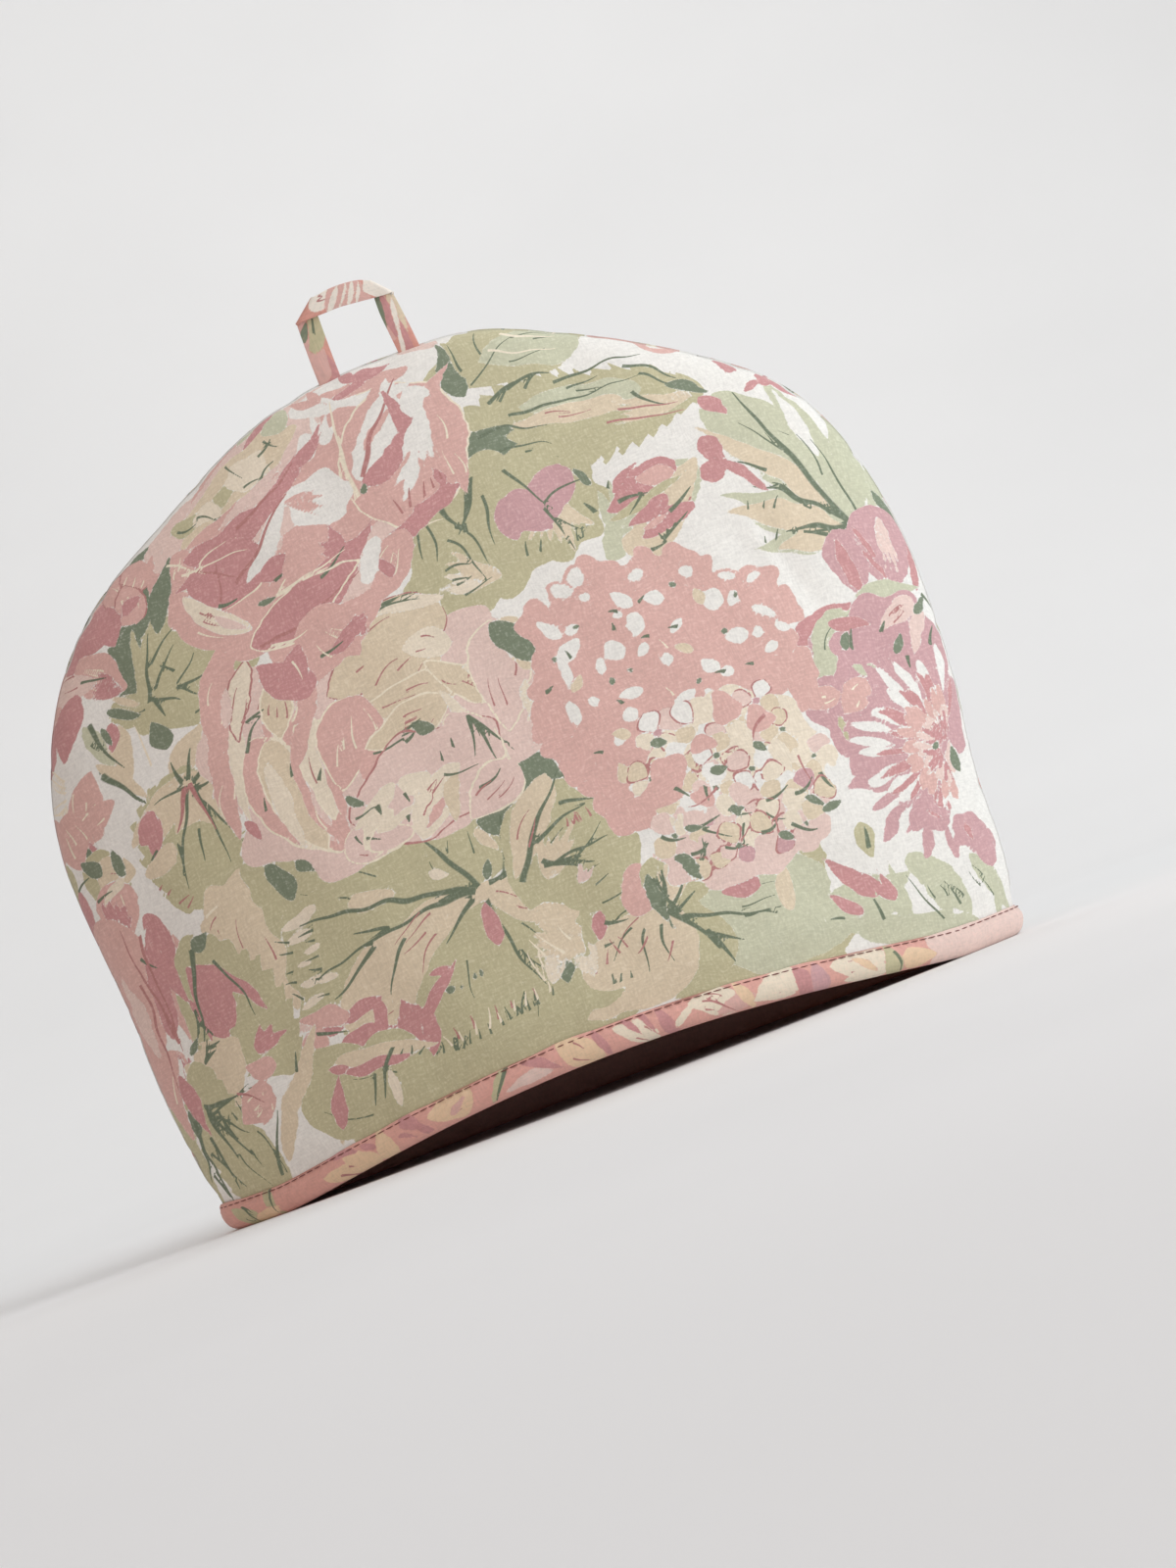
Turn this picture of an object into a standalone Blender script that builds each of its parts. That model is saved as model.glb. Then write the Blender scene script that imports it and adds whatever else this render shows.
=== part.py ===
"""A padded tea cosy: two domed panels sewn together along their arch, a binding
folded over the open hem, and a folded tape loop caught in the seam at the top.

Metres, +Z up. The origin is on the table, under the middle of the cosy. The hem
runs along X and the seam lies in the plane y = 0; the front panel is at -Y.

The wall of the cosy is a family of domes, one inside the other. A dome's level
is how far it lies inside the outer face, so level 0 is the printed face, and
every piece that follows the wall takes its faces from the same family.
"""

import math

import bmesh
import bpy
from mathutils import Vector

# The dome, measured on its outer face.
HEM_HALF_WIDTH = 0.146
WIDEST_HALF_WIDTH = 0.157
WIDEST_HEIGHT = 0.130
DOME_HEIGHT = 0.265
PANEL_DEPTH = 0.056
EDGE_DRAW_IN = 0.32

# The padded wall, and the same wall pressed flat inside the binding.
WALL = 0.0055
PRESSED_OUTER_LEVEL = 0.0012
PRESSED_INNER_LEVEL = 0.0048
PRESSED_HEIGHT = 0.0115
FULL_HEIGHT = 0.022
GAP = 0.0003

# The hem lies flat at the back and at its corners, and lifts in the front's middle.
HEM_RISE = 0.0120
HALF_RISE_WIDTH = 0.124
RISE_POWER = 1.25

# The binding, a strip folded round the hem.
BINDING_THICKNESS = 0.0012
BINDING_HEIGHT = 0.0096
BINDING_OUTER_LEVEL = -0.0004
BINDING_INNER_LEVEL = 0.0064
BINDING_ROUNDING = 0.0020
BINDING_CLEARANCE = 0.0004
FOOT = BINDING_THICKNESS + BINDING_CLEARANCE

# The loop, a flat tape with its two top corners folded over.
TAPE_THICKNESS = 0.0016
TAPE_LAP = 0.0001
LOOP_ROOT = 0.2560
SLOT_ROOT = 0.2545
SLOT_TOP = 0.2700
LOOP_LEFT = (-0.0145, -0.0063)
LOOP_RIGHT = (0.0152, 0.0230)
LOOP_LEFT_FOLD = ((-0.0145, 0.2860), (-0.0063, 0.2926))
LOOP_RIGHT_FOLD = ((0.0146, 0.2916), (0.0206, 0.2846))
LOOP_BAR_TOP = (0.0050, 0.2936)
LOOP_BAR_UNDER = ((-0.0063, 0.2866), (0.0140, 0.2853))

# The grid that each face of a panel is made from.
COLUMNS = 36
ROWS = 25
SHOULDER = math.radians(45)

# Dips in the outline: the angle round the hem's middle, half the arc and the depth.
# A negative depth is a swelling. They fade towards the middle of the panel, and
# towards the hem over DIP_FADE.
DIP_FADE = 0.080
DIP_COLUMNS = ("angle", "half_arc", "depth")
OUTLINE_DIPS = (
    (150.0, 8.0, 0.0026),
    (108.5, 9.0, 0.0058),
    (81.0, 5.0, -0.0026),
    (55.5, 8.0, -0.0058),
    (20.0, 8.0, 0.0034),
)

# Soft troughs in the padding: place, direction, half length, half width, depth.
# They fade where less than TROUGH_FADE of depth is left, near the seam.
TROUGH_FADE = 0.012
TROUGH_COLUMNS = ("x", "z", "angle", "half_length", "half_width", "depth")
FRONT_TROUGHS = (
    (0.073, 0.243, 72.0, 0.024, 0.008, 0.0028),
    (0.109, 0.141, 118.0, 0.026, 0.009, 0.0016),
    (0.135, 0.108, 100.0, 0.030, 0.010, 0.0016),
    (-0.128, 0.196, 140.0, 0.026, 0.011, 0.0018),
    (-0.136, 0.090, 84.0, 0.040, 0.011, 0.0020),
    (-0.060, 0.052, 10.0, 0.060, 0.018, 0.0012),
    (0.052, 0.190, 30.0, 0.045, 0.020, 0.0012),
    (-0.024, 0.236, 95.0, 0.022, 0.012, 0.0014),
    (0.100, 0.036, 160.0, 0.035, 0.014, 0.0014),
)
BACK_TROUGHS = (
    (-0.064, 0.240, 106.0, 0.024, 0.010, 0.0024),
    (0.118, 0.196, 48.0, 0.026, 0.011, 0.0018),
    (-0.132, 0.100, 98.0, 0.036, 0.011, 0.0018),
    (0.070, 0.060, 172.0, 0.055, 0.018, 0.0014),
    (-0.040, 0.170, 60.0, 0.050, 0.020, 0.0012),
    (0.132, 0.112, 80.0, 0.034, 0.011, 0.0018),
)

FRONT, BACK = -1, 1


def smooth(share):
    """0 below 0, 1 above 1, and an S curve between."""
    share = min(max(share, 0.0), 1.0)
    return share * share * (3 - 2 * share)


def half_width(z, level):
    """Half the width of the dome at a height: a slow curve below its widest
    place, and a half ellipse above it."""
    widest = WIDEST_HALF_WIDTH - level
    if z < WIDEST_HEIGHT:
        below = (WIDEST_HEIGHT - z) / WIDEST_HEIGHT
        return widest - (WIDEST_HALF_WIDTH - HEM_HALF_WIDTH) * below * below
    above = (z - WIDEST_HEIGHT) / (DOME_HEIGHT - level - WIDEST_HEIGHT)
    return widest * math.sqrt(max(0.0, 1 - above * above))


def reach(x, z, level):
    """How far out a point lies, from 0 at the hem's middle to 1 at the seam."""
    if abs(x) < 1e-9 and z < 1e-9:
        return 0.0
    low, high = 1e-4, 2.0
    for _ in range(48):
        middle = (low + high) / 2
        inside = z / middle < DOME_HEIGHT - level and (
            abs(x) / middle < half_width(z / middle, level)
        )
        low, high = (low, middle) if inside else (middle, high)
    return min(1.0, (low + high) / 2)


def bulge(out):
    """The depth of a panel as a share of its depth at the hem's middle."""
    return math.sqrt(max(0.0, 1 - out * out)) * (1 - EDGE_DRAW_IN * out * out)


def hem_rise(x, side):
    """The lift of the hem above the table."""
    share = min(1.0, abs(x) / HALF_RISE_WIDTH)
    return HEM_RISE * (1 - share * share) ** RISE_POWER if side == FRONT else 0.0


def side_point(share, level):
    """A point on the right edge, from the panel's foot to the shoulder."""
    radius = (WIDEST_HALF_WIDTH + DOME_HEIGHT - WIDEST_HEIGHT) / 2
    along = FOOT + share * (WIDEST_HEIGHT - FOOT + radius * SHOULDER)
    if along < WIDEST_HEIGHT:
        return half_width(along, level), along
    turned = (along - WIDEST_HEIGHT) / radius
    return (
        (WIDEST_HALF_WIDTH - level) * math.cos(turned),
        WIDEST_HEIGHT + (DOME_HEIGHT - level - WIDEST_HEIGHT) * math.sin(turned),
    )


def arch_point(across, level):
    """A point on the top edge, from the left shoulder at -1 to the right at 1."""
    turned = math.pi / 2 - SHOULDER * across
    return (
        (WIDEST_HALF_WIDTH - level) * math.cos(turned),
        WIDEST_HEIGHT + (DOME_HEIGHT - level - WIDEST_HEIGHT) * math.sin(turned),
    )


def face_point(across, up, level):
    """A point of the flat D shape, blended from its four edges."""
    side_x, side_z = side_point(up, level)
    arch_x, arch_z = arch_point(across, level)
    shoulder_x, shoulder_z = arch_point(1, level)
    x = across * side_x + up * (arch_x - across * shoulder_x)
    z = side_z + up * (arch_z - shoulder_z)
    return x, z


def trough_depth(x, z, troughs):
    """How far the padding dips at a point."""
    depth = 0.0
    for row in troughs:
        trough = dict(zip(TROUGH_COLUMNS, row))
        turn = math.radians(trough["angle"])
        dx, dz = x - trough["x"], z - trough["z"]
        along = (dx * math.cos(turn) + dz * math.sin(turn)) / trough["half_length"]
        aside = (dz * math.cos(turn) - dx * math.sin(turn)) / trough["half_width"]
        depth += trough["depth"] * math.exp(-along * along - aside * aside)
    return depth


def outline_dip(x, z):
    """How far the seam is drawn towards the hem's middle at a point's angle."""
    angle = math.degrees(math.atan2(z, x))
    dip = 0.0
    for row in OUTLINE_DIPS:
        place = dict(zip(DIP_COLUMNS, row))
        off = (angle - place["angle"]) / place["half_arc"]
        dip += place["depth"] * math.exp(-off * off)
    return dip


def wall_level(height, inner):
    """The level of the wall's outer or inner face, pressed in at the hem."""
    free = smooth((height - PRESSED_HEIGHT) / (FULL_HEIGHT - PRESSED_HEIGHT))
    if inner:
        return PRESSED_INNER_LEVEL + (WALL - PRESSED_INNER_LEVEL) * free
    return PRESSED_OUTER_LEVEL * (1 - free)


def panel_point(across, up, inner, side, troughs):
    """A point on the outer or the inner face of a panel."""
    height = face_point(across, up, 0.0)[1]
    level = wall_level(height, inner)
    x, z = face_point(across, up, level)
    out = reach(x, z, level)
    depth = (PANEL_DEPTH - level) * bulge(out)
    depth -= trough_depth(x, z, troughs) * smooth(depth / TROUGH_FADE)
    far = max(math.hypot(x, z), 1e-6)
    pull = 1 - outline_dip(x, z) * out**4 * smooth(z / DIP_FADE) / far
    lift = hem_rise(x, side) * (1 - up) ** 2
    return Vector((x * pull, side * (GAP / 2 + depth), z * pull + lift))


def row_height(row):
    """How far up the panel a row of the grid lies: two rows at the binding, and
    the rest closer together towards the seam."""
    at_binding = (0.0, 0.044, 0.088)
    if row < len(at_binding):
        return at_binding[row]
    start = math.asin(at_binding[-1])
    share = (row - len(at_binding) + 1) / (ROWS - len(at_binding) + 1)
    return math.sin(start + (math.pi / 2 - start) * share)


def link(name, mesh, material):
    """Makes a named object with one material."""
    mesh.materials.append(material)
    made = bpy.data.objects.new(name, mesh)
    bpy.context.scene.collection.objects.link(made)
    return made


def material_of(name, colour, roughness):
    """A plain cloth finish."""
    made = bpy.data.materials.new(name)
    made.use_nodes = True
    shader = made.node_tree.nodes["Principled BSDF"]
    shader.inputs["Base Color"].default_value = (*colour, 1.0)
    shader.inputs["Roughness"].default_value = roughness
    shader.inputs["Metallic"].default_value = 0.0
    return made


def make_panel(name, side, troughs, material):
    """One padded panel: a flat grid, extruded to give it a second face, then
    both faces laid on the dome."""
    shape = bmesh.new()
    bmesh.ops.create_grid(shape, x_segments=COLUMNS, y_segments=ROWS, size=1.0)
    sheet = list(shape.faces)
    doubled = bmesh.ops.extrude_face_region(shape, geom=sheet, use_keep_orig=True)
    inner = {v for v in doubled["geom"] if isinstance(v, bmesh.types.BMVert)}
    for v in shape.verts:
        across = math.sin(math.pi / 2 * v.co.x)
        up = row_height(round((v.co.y + 1) / 2 * ROWS))
        v.co = panel_point(across, up, v in inner, side, troughs)
    bmesh.ops.recalc_face_normals(shape, faces=shape.faces)
    mesh = bpy.data.meshes.new(name)
    shape.to_mesh(mesh)
    shape.free()
    mesh.shade_smooth()
    mesh.set_sharp_from_angle(angle=math.radians(50))
    return link(name, mesh, material)


def hem_point(turned, level, height):
    """A point of the wall near the hem, at an angle round it."""
    x = half_width(height, level) * math.cos(turned)
    depth = (PANEL_DEPTH - level) * bulge(reach(x, height, level))
    side = FRONT if turned > math.pi else BACK
    return Vector((x, side * depth, height + hem_rise(x, side)))


def make_binding(name, material):
    """The binding: a U section carried round the hem as one closed ring."""
    outer, inner = BINDING_OUTER_LEVEL, BINDING_INNER_LEVEL
    wall, top, rounding = BINDING_THICKNESS, BINDING_HEIGHT, BINDING_ROUNDING
    shoulder = top - wall / 2
    chamfer = (1 - math.sqrt(0.5)) * rounding
    section = (
        (outer, rounding),
        (outer + chamfer, chamfer),
        (outer + rounding, 0.0),
        (inner - rounding, 0.0),
        (inner - chamfer, chamfer),
        (inner, rounding),
        (inner, shoulder),
        (inner - wall / 2, top),
        (inner - wall, shoulder),
        (inner - wall, wall),
        (outer + wall, wall),
        (outer + wall, shoulder),
        (outer + wall / 2, top),
        (outer, shoulder),
    )
    shape = bmesh.new()
    rings = []
    for station in range(2 * COLUMNS):
        turned = math.pi * station / COLUMNS
        verts = [shape.verts.new(hem_point(turned, *place)) for place in section]
        count = len(verts)
        rings.append([shape.edges.new((verts[i], verts[(i + 1) % count])) for i in range(count)])
    for ring, following in zip(rings, rings[1:] + rings[:1]):
        bmesh.ops.bridge_loops(shape, edges=ring + following)
    bmesh.ops.recalc_face_normals(shape, faces=shape.faces)
    mesh = bpy.data.meshes.new(name)
    shape.to_mesh(mesh)
    shape.free()
    return link(name, mesh, material)


def prism(name, outline, near, far, material):
    """A flat shape in the plane of the seam, given a thickness along Y."""
    shape = bmesh.new()
    face = shape.faces.new([shape.verts.new((x, near, z)) for x, z in outline])
    grown = bmesh.ops.extrude_face_region(shape, geom=[face], use_keep_orig=True)
    for v in grown["geom"]:
        if isinstance(v, bmesh.types.BMVert):
            v.co.y = far
    bmesh.ops.recalc_face_normals(shape, faces=shape.faces)
    mesh = bpy.data.meshes.new(name)
    shape.to_mesh(mesh)
    shape.free()
    return link(name, mesh, material)


def as_tool(tool):
    """Marks an object as one that only cuts or joins another."""
    tool.hide_render = True
    tool.display_type = "WIRE"
    return tool


def boolean(target, tool, operation):
    """Joins a tool to an object or cuts it from the object."""
    step = target.modifiers.new(operation.lower(), "BOOLEAN")
    step.operation = operation
    step.solver = "EXACT"
    step.object = as_tool(tool)


def make_loop(name, material):
    """The loop: two legs in the plane of the seam and a bar lapped over their
    tops, each corner folded on the slant."""
    half = TAPE_THICKNESS / 2
    low_left, high_left = LOOP_LEFT_FOLD
    high_right, low_right = LOOP_RIGHT_FOLD
    left = [
        (LOOP_LEFT[0], LOOP_ROOT),
        (LOOP_LEFT[1], LOOP_ROOT),
        high_left,
        low_left,
    ]
    right = [
        (LOOP_RIGHT[0], LOOP_ROOT),
        (LOOP_RIGHT[1], LOOP_ROOT),
        low_right,
        high_right,
    ]
    bar = [
        low_left,
        LOOP_BAR_UNDER[0],
        LOOP_BAR_UNDER[1],
        low_right,
        high_right,
        LOOP_BAR_TOP,
        high_left,
    ]
    front = -half + TAPE_LAP
    loop = prism(name, bar, front - TAPE_THICKNESS, front, material)
    for leg_name, outline in (("left_leg", left), ("right_leg", right)):
        leg = prism(leg_name, outline, -half, half, material)
        boolean(loop, leg, "UNION")
    return loop


def cut_slot(panel, leg, label, material):
    """Opens the seam of a panel for one leg of the loop."""
    outline = [
        (leg[0] - GAP, SLOT_ROOT),
        (leg[1] + GAP, SLOT_ROOT),
        (leg[1] + GAP, SLOT_TOP),
        (leg[0] - GAP, SLOT_TOP),
    ]
    room = TAPE_THICKNESS / 2 + GAP
    boolean(panel, prism(label, outline, -room, room, material), "DIFFERENCE")


def build():
    """Makes the whole cosy."""
    for thing in list(bpy.data.objects):
        bpy.data.objects.remove(thing, do_unlink=True)
    print_cloth = material_of("printed_cotton", (0.71, 0.55, 0.45), 0.85)
    bias_cloth = material_of("bias_strip", (0.72, 0.38, 0.33), 0.85)
    front = make_panel("front_panel", FRONT, FRONT_TROUGHS, print_cloth)
    back = make_panel("back_panel", BACK, BACK_TROUGHS, print_cloth)
    make_binding("hem_binding", bias_cloth)
    make_loop("hanging_loop", bias_cloth)
    for panel, side in ((front, "front"), (back, "back")):
        cut_slot(panel, LOOP_LEFT, side + "_left_slot", bias_cloth)
        cut_slot(panel, LOOP_RIGHT, side + "_right_slot", bias_cloth)


build()
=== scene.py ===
"""A padded tea cosy of floral cotton chintz, standing on its bound hem.

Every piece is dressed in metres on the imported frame. The prints are drawn in
millimetres on the flat cloth, before it is made up.
"""

import functools
import math

import bpy
import numpy as np
from mathutils import Matrix, Vector


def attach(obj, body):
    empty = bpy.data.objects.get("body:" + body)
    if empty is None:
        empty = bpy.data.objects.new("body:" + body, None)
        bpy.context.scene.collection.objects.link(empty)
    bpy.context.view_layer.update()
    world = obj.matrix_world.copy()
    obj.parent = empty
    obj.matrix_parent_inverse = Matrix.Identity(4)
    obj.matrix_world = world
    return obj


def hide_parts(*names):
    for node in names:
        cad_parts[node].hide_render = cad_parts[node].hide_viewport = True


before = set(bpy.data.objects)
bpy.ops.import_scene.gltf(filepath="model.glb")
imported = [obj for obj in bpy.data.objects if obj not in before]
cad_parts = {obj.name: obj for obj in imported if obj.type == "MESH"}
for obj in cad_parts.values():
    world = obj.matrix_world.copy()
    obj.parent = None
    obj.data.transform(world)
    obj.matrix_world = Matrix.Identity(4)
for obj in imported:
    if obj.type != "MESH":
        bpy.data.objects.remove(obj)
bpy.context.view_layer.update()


# ---------------------------------------------------------------------------
# The padded wall. Two layers of cotton with wadding between them, cut to a D
# and domed by the pot inside. The wall's outer face is level 0, and a level is
# how far inside that face a point lies.
# ---------------------------------------------------------------------------

MM = 0.001
FRONT, BACK = -1, 1

HEM_HALF_WIDTH = 146 * MM
WIDEST_HALF_WIDTH = 157 * MM
WIDEST_HEIGHT = 130 * MM
DOME_HEIGHT = 265 * MM
PANEL_DEPTH = 56 * MM
EDGE_DRAW_IN = 0.32
SHOULDER = math.radians(45)

WALL = 5.5 * MM
PRESSED_OUTER_LEVEL = 1.2 * MM
PRESSED_INNER_LEVEL = 4.8 * MM
PRESSED_HEIGHT = 11.5 * MM
FULL_HEIGHT = 22 * MM
SEAM_GAP = 0.3 * MM
PANEL_FOOT = 1.6 * MM

HEM_RISE = 12 * MM
HALF_RISE_WIDTH = 124 * MM
RISE_POWER = 1.25

NEAREST_REACH, FARTHEST_REACH, HALVINGS = 1e-4, 2.0, 40
DIP_FADE = 80 * MM
OUTLINE_DIPS = (  # angle and half arc in degrees, depth in mm
    (150.0, 8.0, 2.6),
    (108.5, 9.0, 5.8),
    (81.0, 5.0, -2.6),
    (55.5, 8.0, -5.8),
    (20.0, 8.0, 3.4),
)


def smooth(share):
    """0 below 0, 1 above 1, and an S curve between."""
    share = np.clip(share, 0.0, 1.0)
    return share * share * (3 - 2 * share)


def half_width(z, level):
    """Half the width of the dome at a height."""
    below = np.clip((WIDEST_HEIGHT - z) / WIDEST_HEIGHT, 0, None)
    above = np.clip((z - WIDEST_HEIGHT) / (DOME_HEIGHT - level - WIDEST_HEIGHT), 0, 1)
    lower = WIDEST_HALF_WIDTH - level - (WIDEST_HALF_WIDTH - HEM_HALF_WIDTH) * below**2
    upper = (WIDEST_HALF_WIDTH - level) * np.sqrt(1 - above**2)
    return np.where(z < WIDEST_HEIGHT, lower, upper)


def reach(x, z, level):
    """How far out a point lies, from 0 at the hem's middle to 1 at the seam."""
    low = np.full(np.shape(x), NEAREST_REACH)
    high = np.full(np.shape(x), FARTHEST_REACH)
    for _ in range(HALVINGS):
        middle = (low + high) / 2
        inside = z / middle < DOME_HEIGHT - level
        inside &= np.abs(x) / middle < half_width(z / middle, level)
        low, high = np.where(inside, low, middle), np.where(inside, middle, high)
    return np.minimum(1.0, (low + high) / 2)


def bulge(out):
    """The depth of a panel as a share of its depth at the hem's middle."""
    return np.sqrt(np.clip(1 - out * out, 0, None)) * (1 - EDGE_DRAW_IN * out * out)


def hem_rise(x, side):
    """The lift of the hem above the table: only the front's middle lifts."""
    share = np.minimum(1.0, np.abs(x) / HALF_RISE_WIDTH)
    return HEM_RISE * (1 - share * share) ** RISE_POWER * (np.asarray(side) == FRONT)


def face_point(across, up, level):
    """A point of the D shape, blended from its four edges."""
    radius = (WIDEST_HALF_WIDTH + DOME_HEIGHT - WIDEST_HEIGHT) / 2
    wide = WIDEST_HALF_WIDTH - level
    tall = DOME_HEIGHT - level - WIDEST_HEIGHT
    along = PANEL_FOOT + up * (WIDEST_HEIGHT - PANEL_FOOT + radius * SHOULDER)
    turned = np.clip((along - WIDEST_HEIGHT) / radius, 0, None)
    on_side = along < WIDEST_HEIGHT
    side_x = np.where(on_side, half_width(along, level), wide * np.cos(turned))
    side_z = np.where(on_side, along, WIDEST_HEIGHT + tall * np.sin(turned))
    arch_x = wide * np.sin(SHOULDER * across)
    arch_z = WIDEST_HEIGHT + tall * np.cos(SHOULDER * across)
    x = across * side_x + up * (arch_x - across * wide * np.cos(SHOULDER))
    z = side_z + up * (arch_z - WIDEST_HEIGHT - tall * np.sin(SHOULDER))
    return x, z


def outline_dip(x, z):
    """How far the seam is drawn towards the hem's middle at a point's angle."""
    angle = np.degrees(np.arctan2(z, x))
    dips = (depth * MM * np.exp(-(((angle - at) / arc) ** 2)) for at, arc, depth in OUTLINE_DIPS)
    return sum(dips)


def pressed_level(height):
    """How far the binding presses the outer face in."""
    free = smooth((height - PRESSED_HEIGHT) / (FULL_HEIGHT - PRESSED_HEIGHT))
    return PRESSED_OUTER_LEVEL * (1 - free)


def inner_level(height):
    """The level of the wall's inner face, pressed at the hem too."""
    free = smooth((height - PRESSED_HEIGHT) / (FULL_HEIGHT - PRESSED_HEIGHT))
    return PRESSED_INNER_LEVEL + (WALL - PRESSED_INNER_LEVEL) * free


def on_the_wall(across, up, level, side):
    """Places points of a panel at their levels inside the outer face."""
    x, z = face_point(across, up, level)
    out = reach(x, z, level)
    depth = (PANEL_DEPTH - level) * bulge(out)
    pull = 1 - outline_dip(x, z) * out**4 * smooth(z / DIP_FADE) / np.hypot(x, z)
    lift = hem_rise(x, side) * (1 - np.clip(up, 0, 1)) ** 2
    return np.stack([x * pull, side * (SEAM_GAP / 2 + depth), z * pull + lift], axis=1)


# ---------------------------------------------------------------------------
# The print. Chintz is printed a colour at a time, each from its own screen, and
# every flower is built up of overlapping shapes. A piece of cloth keeps, at each
# of its points, the distance in mm to the edge of each ink, below 0 inside it.
# ---------------------------------------------------------------------------

INKS = ("rose_pale", "rose", "rose_deep", "cream", "tan", "sage_light", "sage", "bottle", "mauve")
LINES = ("line_green", "line_rose", "line_cream")
FAR = 9.0
RIM_WIDTH = 0.7
LINE_MARGIN = 0.42
STRAYING = (0.24, 11, 30)  # mm that a shape strays, over the shortest and longest lengths
RAGGEDNESS = (0.09, 3.5, 9)  # the same for its edge
LOBE_DEPTH = 0.09
TOOTH_LENGTH = 6
TOOTH_DEPTH = 0.22
PETAL_FORM = (0.62, 0.5)  # where it is widest, and how blunt its ends are, from 1 down
LEAF_FORM = (0.45, 0.6)
FINGERS_PER_DEGREE = 0.016
FINGER_BEND, FINGER_WIDEST = -0.002, 0.38
TICK_WIDTH = 0.9
VEIN_WIDTH = 0.7
VEINED_LENGTH, VEINED_WIDTH = 14, 8  # the least that a shape with veins measures


class Cloth:
    """The points of one piece of cloth, laid flat, in mm, and what is printed there."""

    def __init__(self, u, v, seed, spot=None):
        self.chance = np.random.default_rng(seed)
        self.u = u + waves(u, v, self.chance, *STRAYING)
        self.v = v + waves(u, v, self.chance, *STRAYING)
        self.ragged = waves(u, v, self.chance, *RAGGEDNESS)
        self.spot = spot or (lambda at: at)
        self.low, self.high = np.array([u.min(), v.min()]), np.array([u.max(), v.max()])
        self.inks = np.full((len(INKS), len(u)), FAR)
        self.across_line = np.full((len(LINES), len(u)), FAR)
        self.line_edge = np.full((len(LINES), len(u)), FAR)

    def local(self, at, angle, size):
        """The points near a place, measured along and across a direction."""
        at = np.array(self.spot(at))
        if np.any(self.low - at > size) or np.any(at - self.high > size):
            near = np.zeros(0, dtype=int)
        else:
            near = np.nonzero((np.abs(self.u - at[0]) < size) & (np.abs(self.v - at[1]) < size))[0]
        turn = math.radians(angle)
        du, dv = self.u[near] - at[0], self.v[near] - at[1]
        along = du * math.cos(turn) + dv * math.sin(turn)
        aside = dv * math.cos(turn) - du * math.sin(turn)
        return near, along, aside

    def lay(self, ink, near, edge, rim=None):
        """Prints a shape over what is there, outlined if it has a rim. No ink leaves ground."""
        edge = edge + self.ragged[near]
        self.inks[:, near] = np.maximum(self.inks[:, near], -edge)
        self.line_edge[:, near] = np.maximum(self.line_edge[:, near], -edge)
        if ink is not None:
            row = INKS.index(ink)
            self.inks[row, near] = np.minimum(self.inks[row, near], edge)
        if rim is not None:
            self.rule(rim, near, edge, RIM_WIDTH / 2, np.abs(edge) - RIM_WIDTH / 2 - LINE_MARGIN)

    def rule(self, line, near, off, half, edge):
        """Draws a fine line where the distance to its middle is less than half its width."""
        row = LINES.index(line)
        nearer = edge < self.line_edge[row, near]
        self.across_line[row, near] = np.where(nearer, off / half, self.across_line[row, near])
        self.line_edge[row, near] = np.minimum(self.line_edge[row, near], edge)

    def blob(self, ink, at, angle, length, width, lobes=0, depth=LOBE_DEPTH, phase=0.0, rim=None):
        """A round or lobed shape about its middle."""
        near, along, aside = self.local(at, angle, 0.75 * max(length, width) + 3)
        a, b = along / (length / 2), aside / (width / 2)
        far = np.hypot(a, b) + 1e-6
        scallop = 1 + depth * np.cos(lobes * np.arctan2(b, a) + phase) * (lobes > 0)
        slope = np.hypot(a / (length / 2), b / (width / 2)) / far
        self.lay(ink, near, (far - scallop) / slope, rim)

    def blade(self, ink, at, angle, length, width, bend=0.0, widest=0.4, blunt=1.0, teeth=0, rim=None):
        """A leaf or petal shape from its base, bent aside and with teeth if it has any."""
        near, along, aside = self.local(at, angle, 1.2 * length + width)
        t = np.clip(along / length, 0, 1)
        half = width / 2 * np.sin(math.pi * t ** (math.log(0.5) / math.log(widest))) ** blunt
        if teeth:
            half = half * (1 - TOOTH_DEPTH * ((teeth * t + 0.3 * (aside > 0)) % 1.0))
        lean = 1 / np.hypot(1, 2 * bend * t)
        swing = bend * length * t * t
        beyond = np.maximum(np.abs(along - length / 2) - length / 2, 0)
        edge = (np.abs(aside - swing) - half) * lean
        self.lay(ink, near, np.where(beyond > 0, np.hypot(beyond, aside - swing), edge), rim)

    def stroke(self, line, at, angle, length, width, bend=0.0):
        """A fine brush line, tapered to its far end."""
        near, along, aside = self.local(at, angle, 1.2 * length + 3)
        t = np.clip(along / length, 0, 1)
        half = np.maximum(width / 2 * (1.04 - t) ** 0.55, 0.12)
        off = (aside - bend * length * t * t) / np.hypot(1, 2 * bend * t)
        beyond = np.maximum(np.abs(along - length / 2) - length / 2, 0)
        edge = np.abs(off) - half - LINE_MARGIN
        self.rule(line, near, off, half, np.where(beyond > 0, np.maximum(edge, 3 * beyond), edge))


def waves(u, v, chance, height, shortest, longest):
    """The unsteadiness of a hand-cut screen, in mm, over lengths in mm."""
    moved = np.zeros(len(u))
    for _ in range(6):
        turn, start = chance.uniform(0, 2 * math.pi), chance.uniform(0, 6)
        wave = chance.uniform(shortest, longest)
        moved += height * np.sin((u * math.cos(turn) + v * math.sin(turn)) * 2 * math.pi / wave + start)
    return moved


def fan(cloth, ink, at, angle, length, width, spread):
    """The feathered edge of a highlight or shadow: narrow fingers from one place."""
    fingers = max(2, round(FINGERS_PER_DEGREE * spread * length / width))
    for turn in np.linspace(-spread / 2, spread / 2, fingers):
        long = length * cloth.chance.uniform(0.62, 1.05)
        cloth.blade(ink, at, angle + turn, long, width, FINGER_BEND * turn, FINGER_WIDEST)


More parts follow.
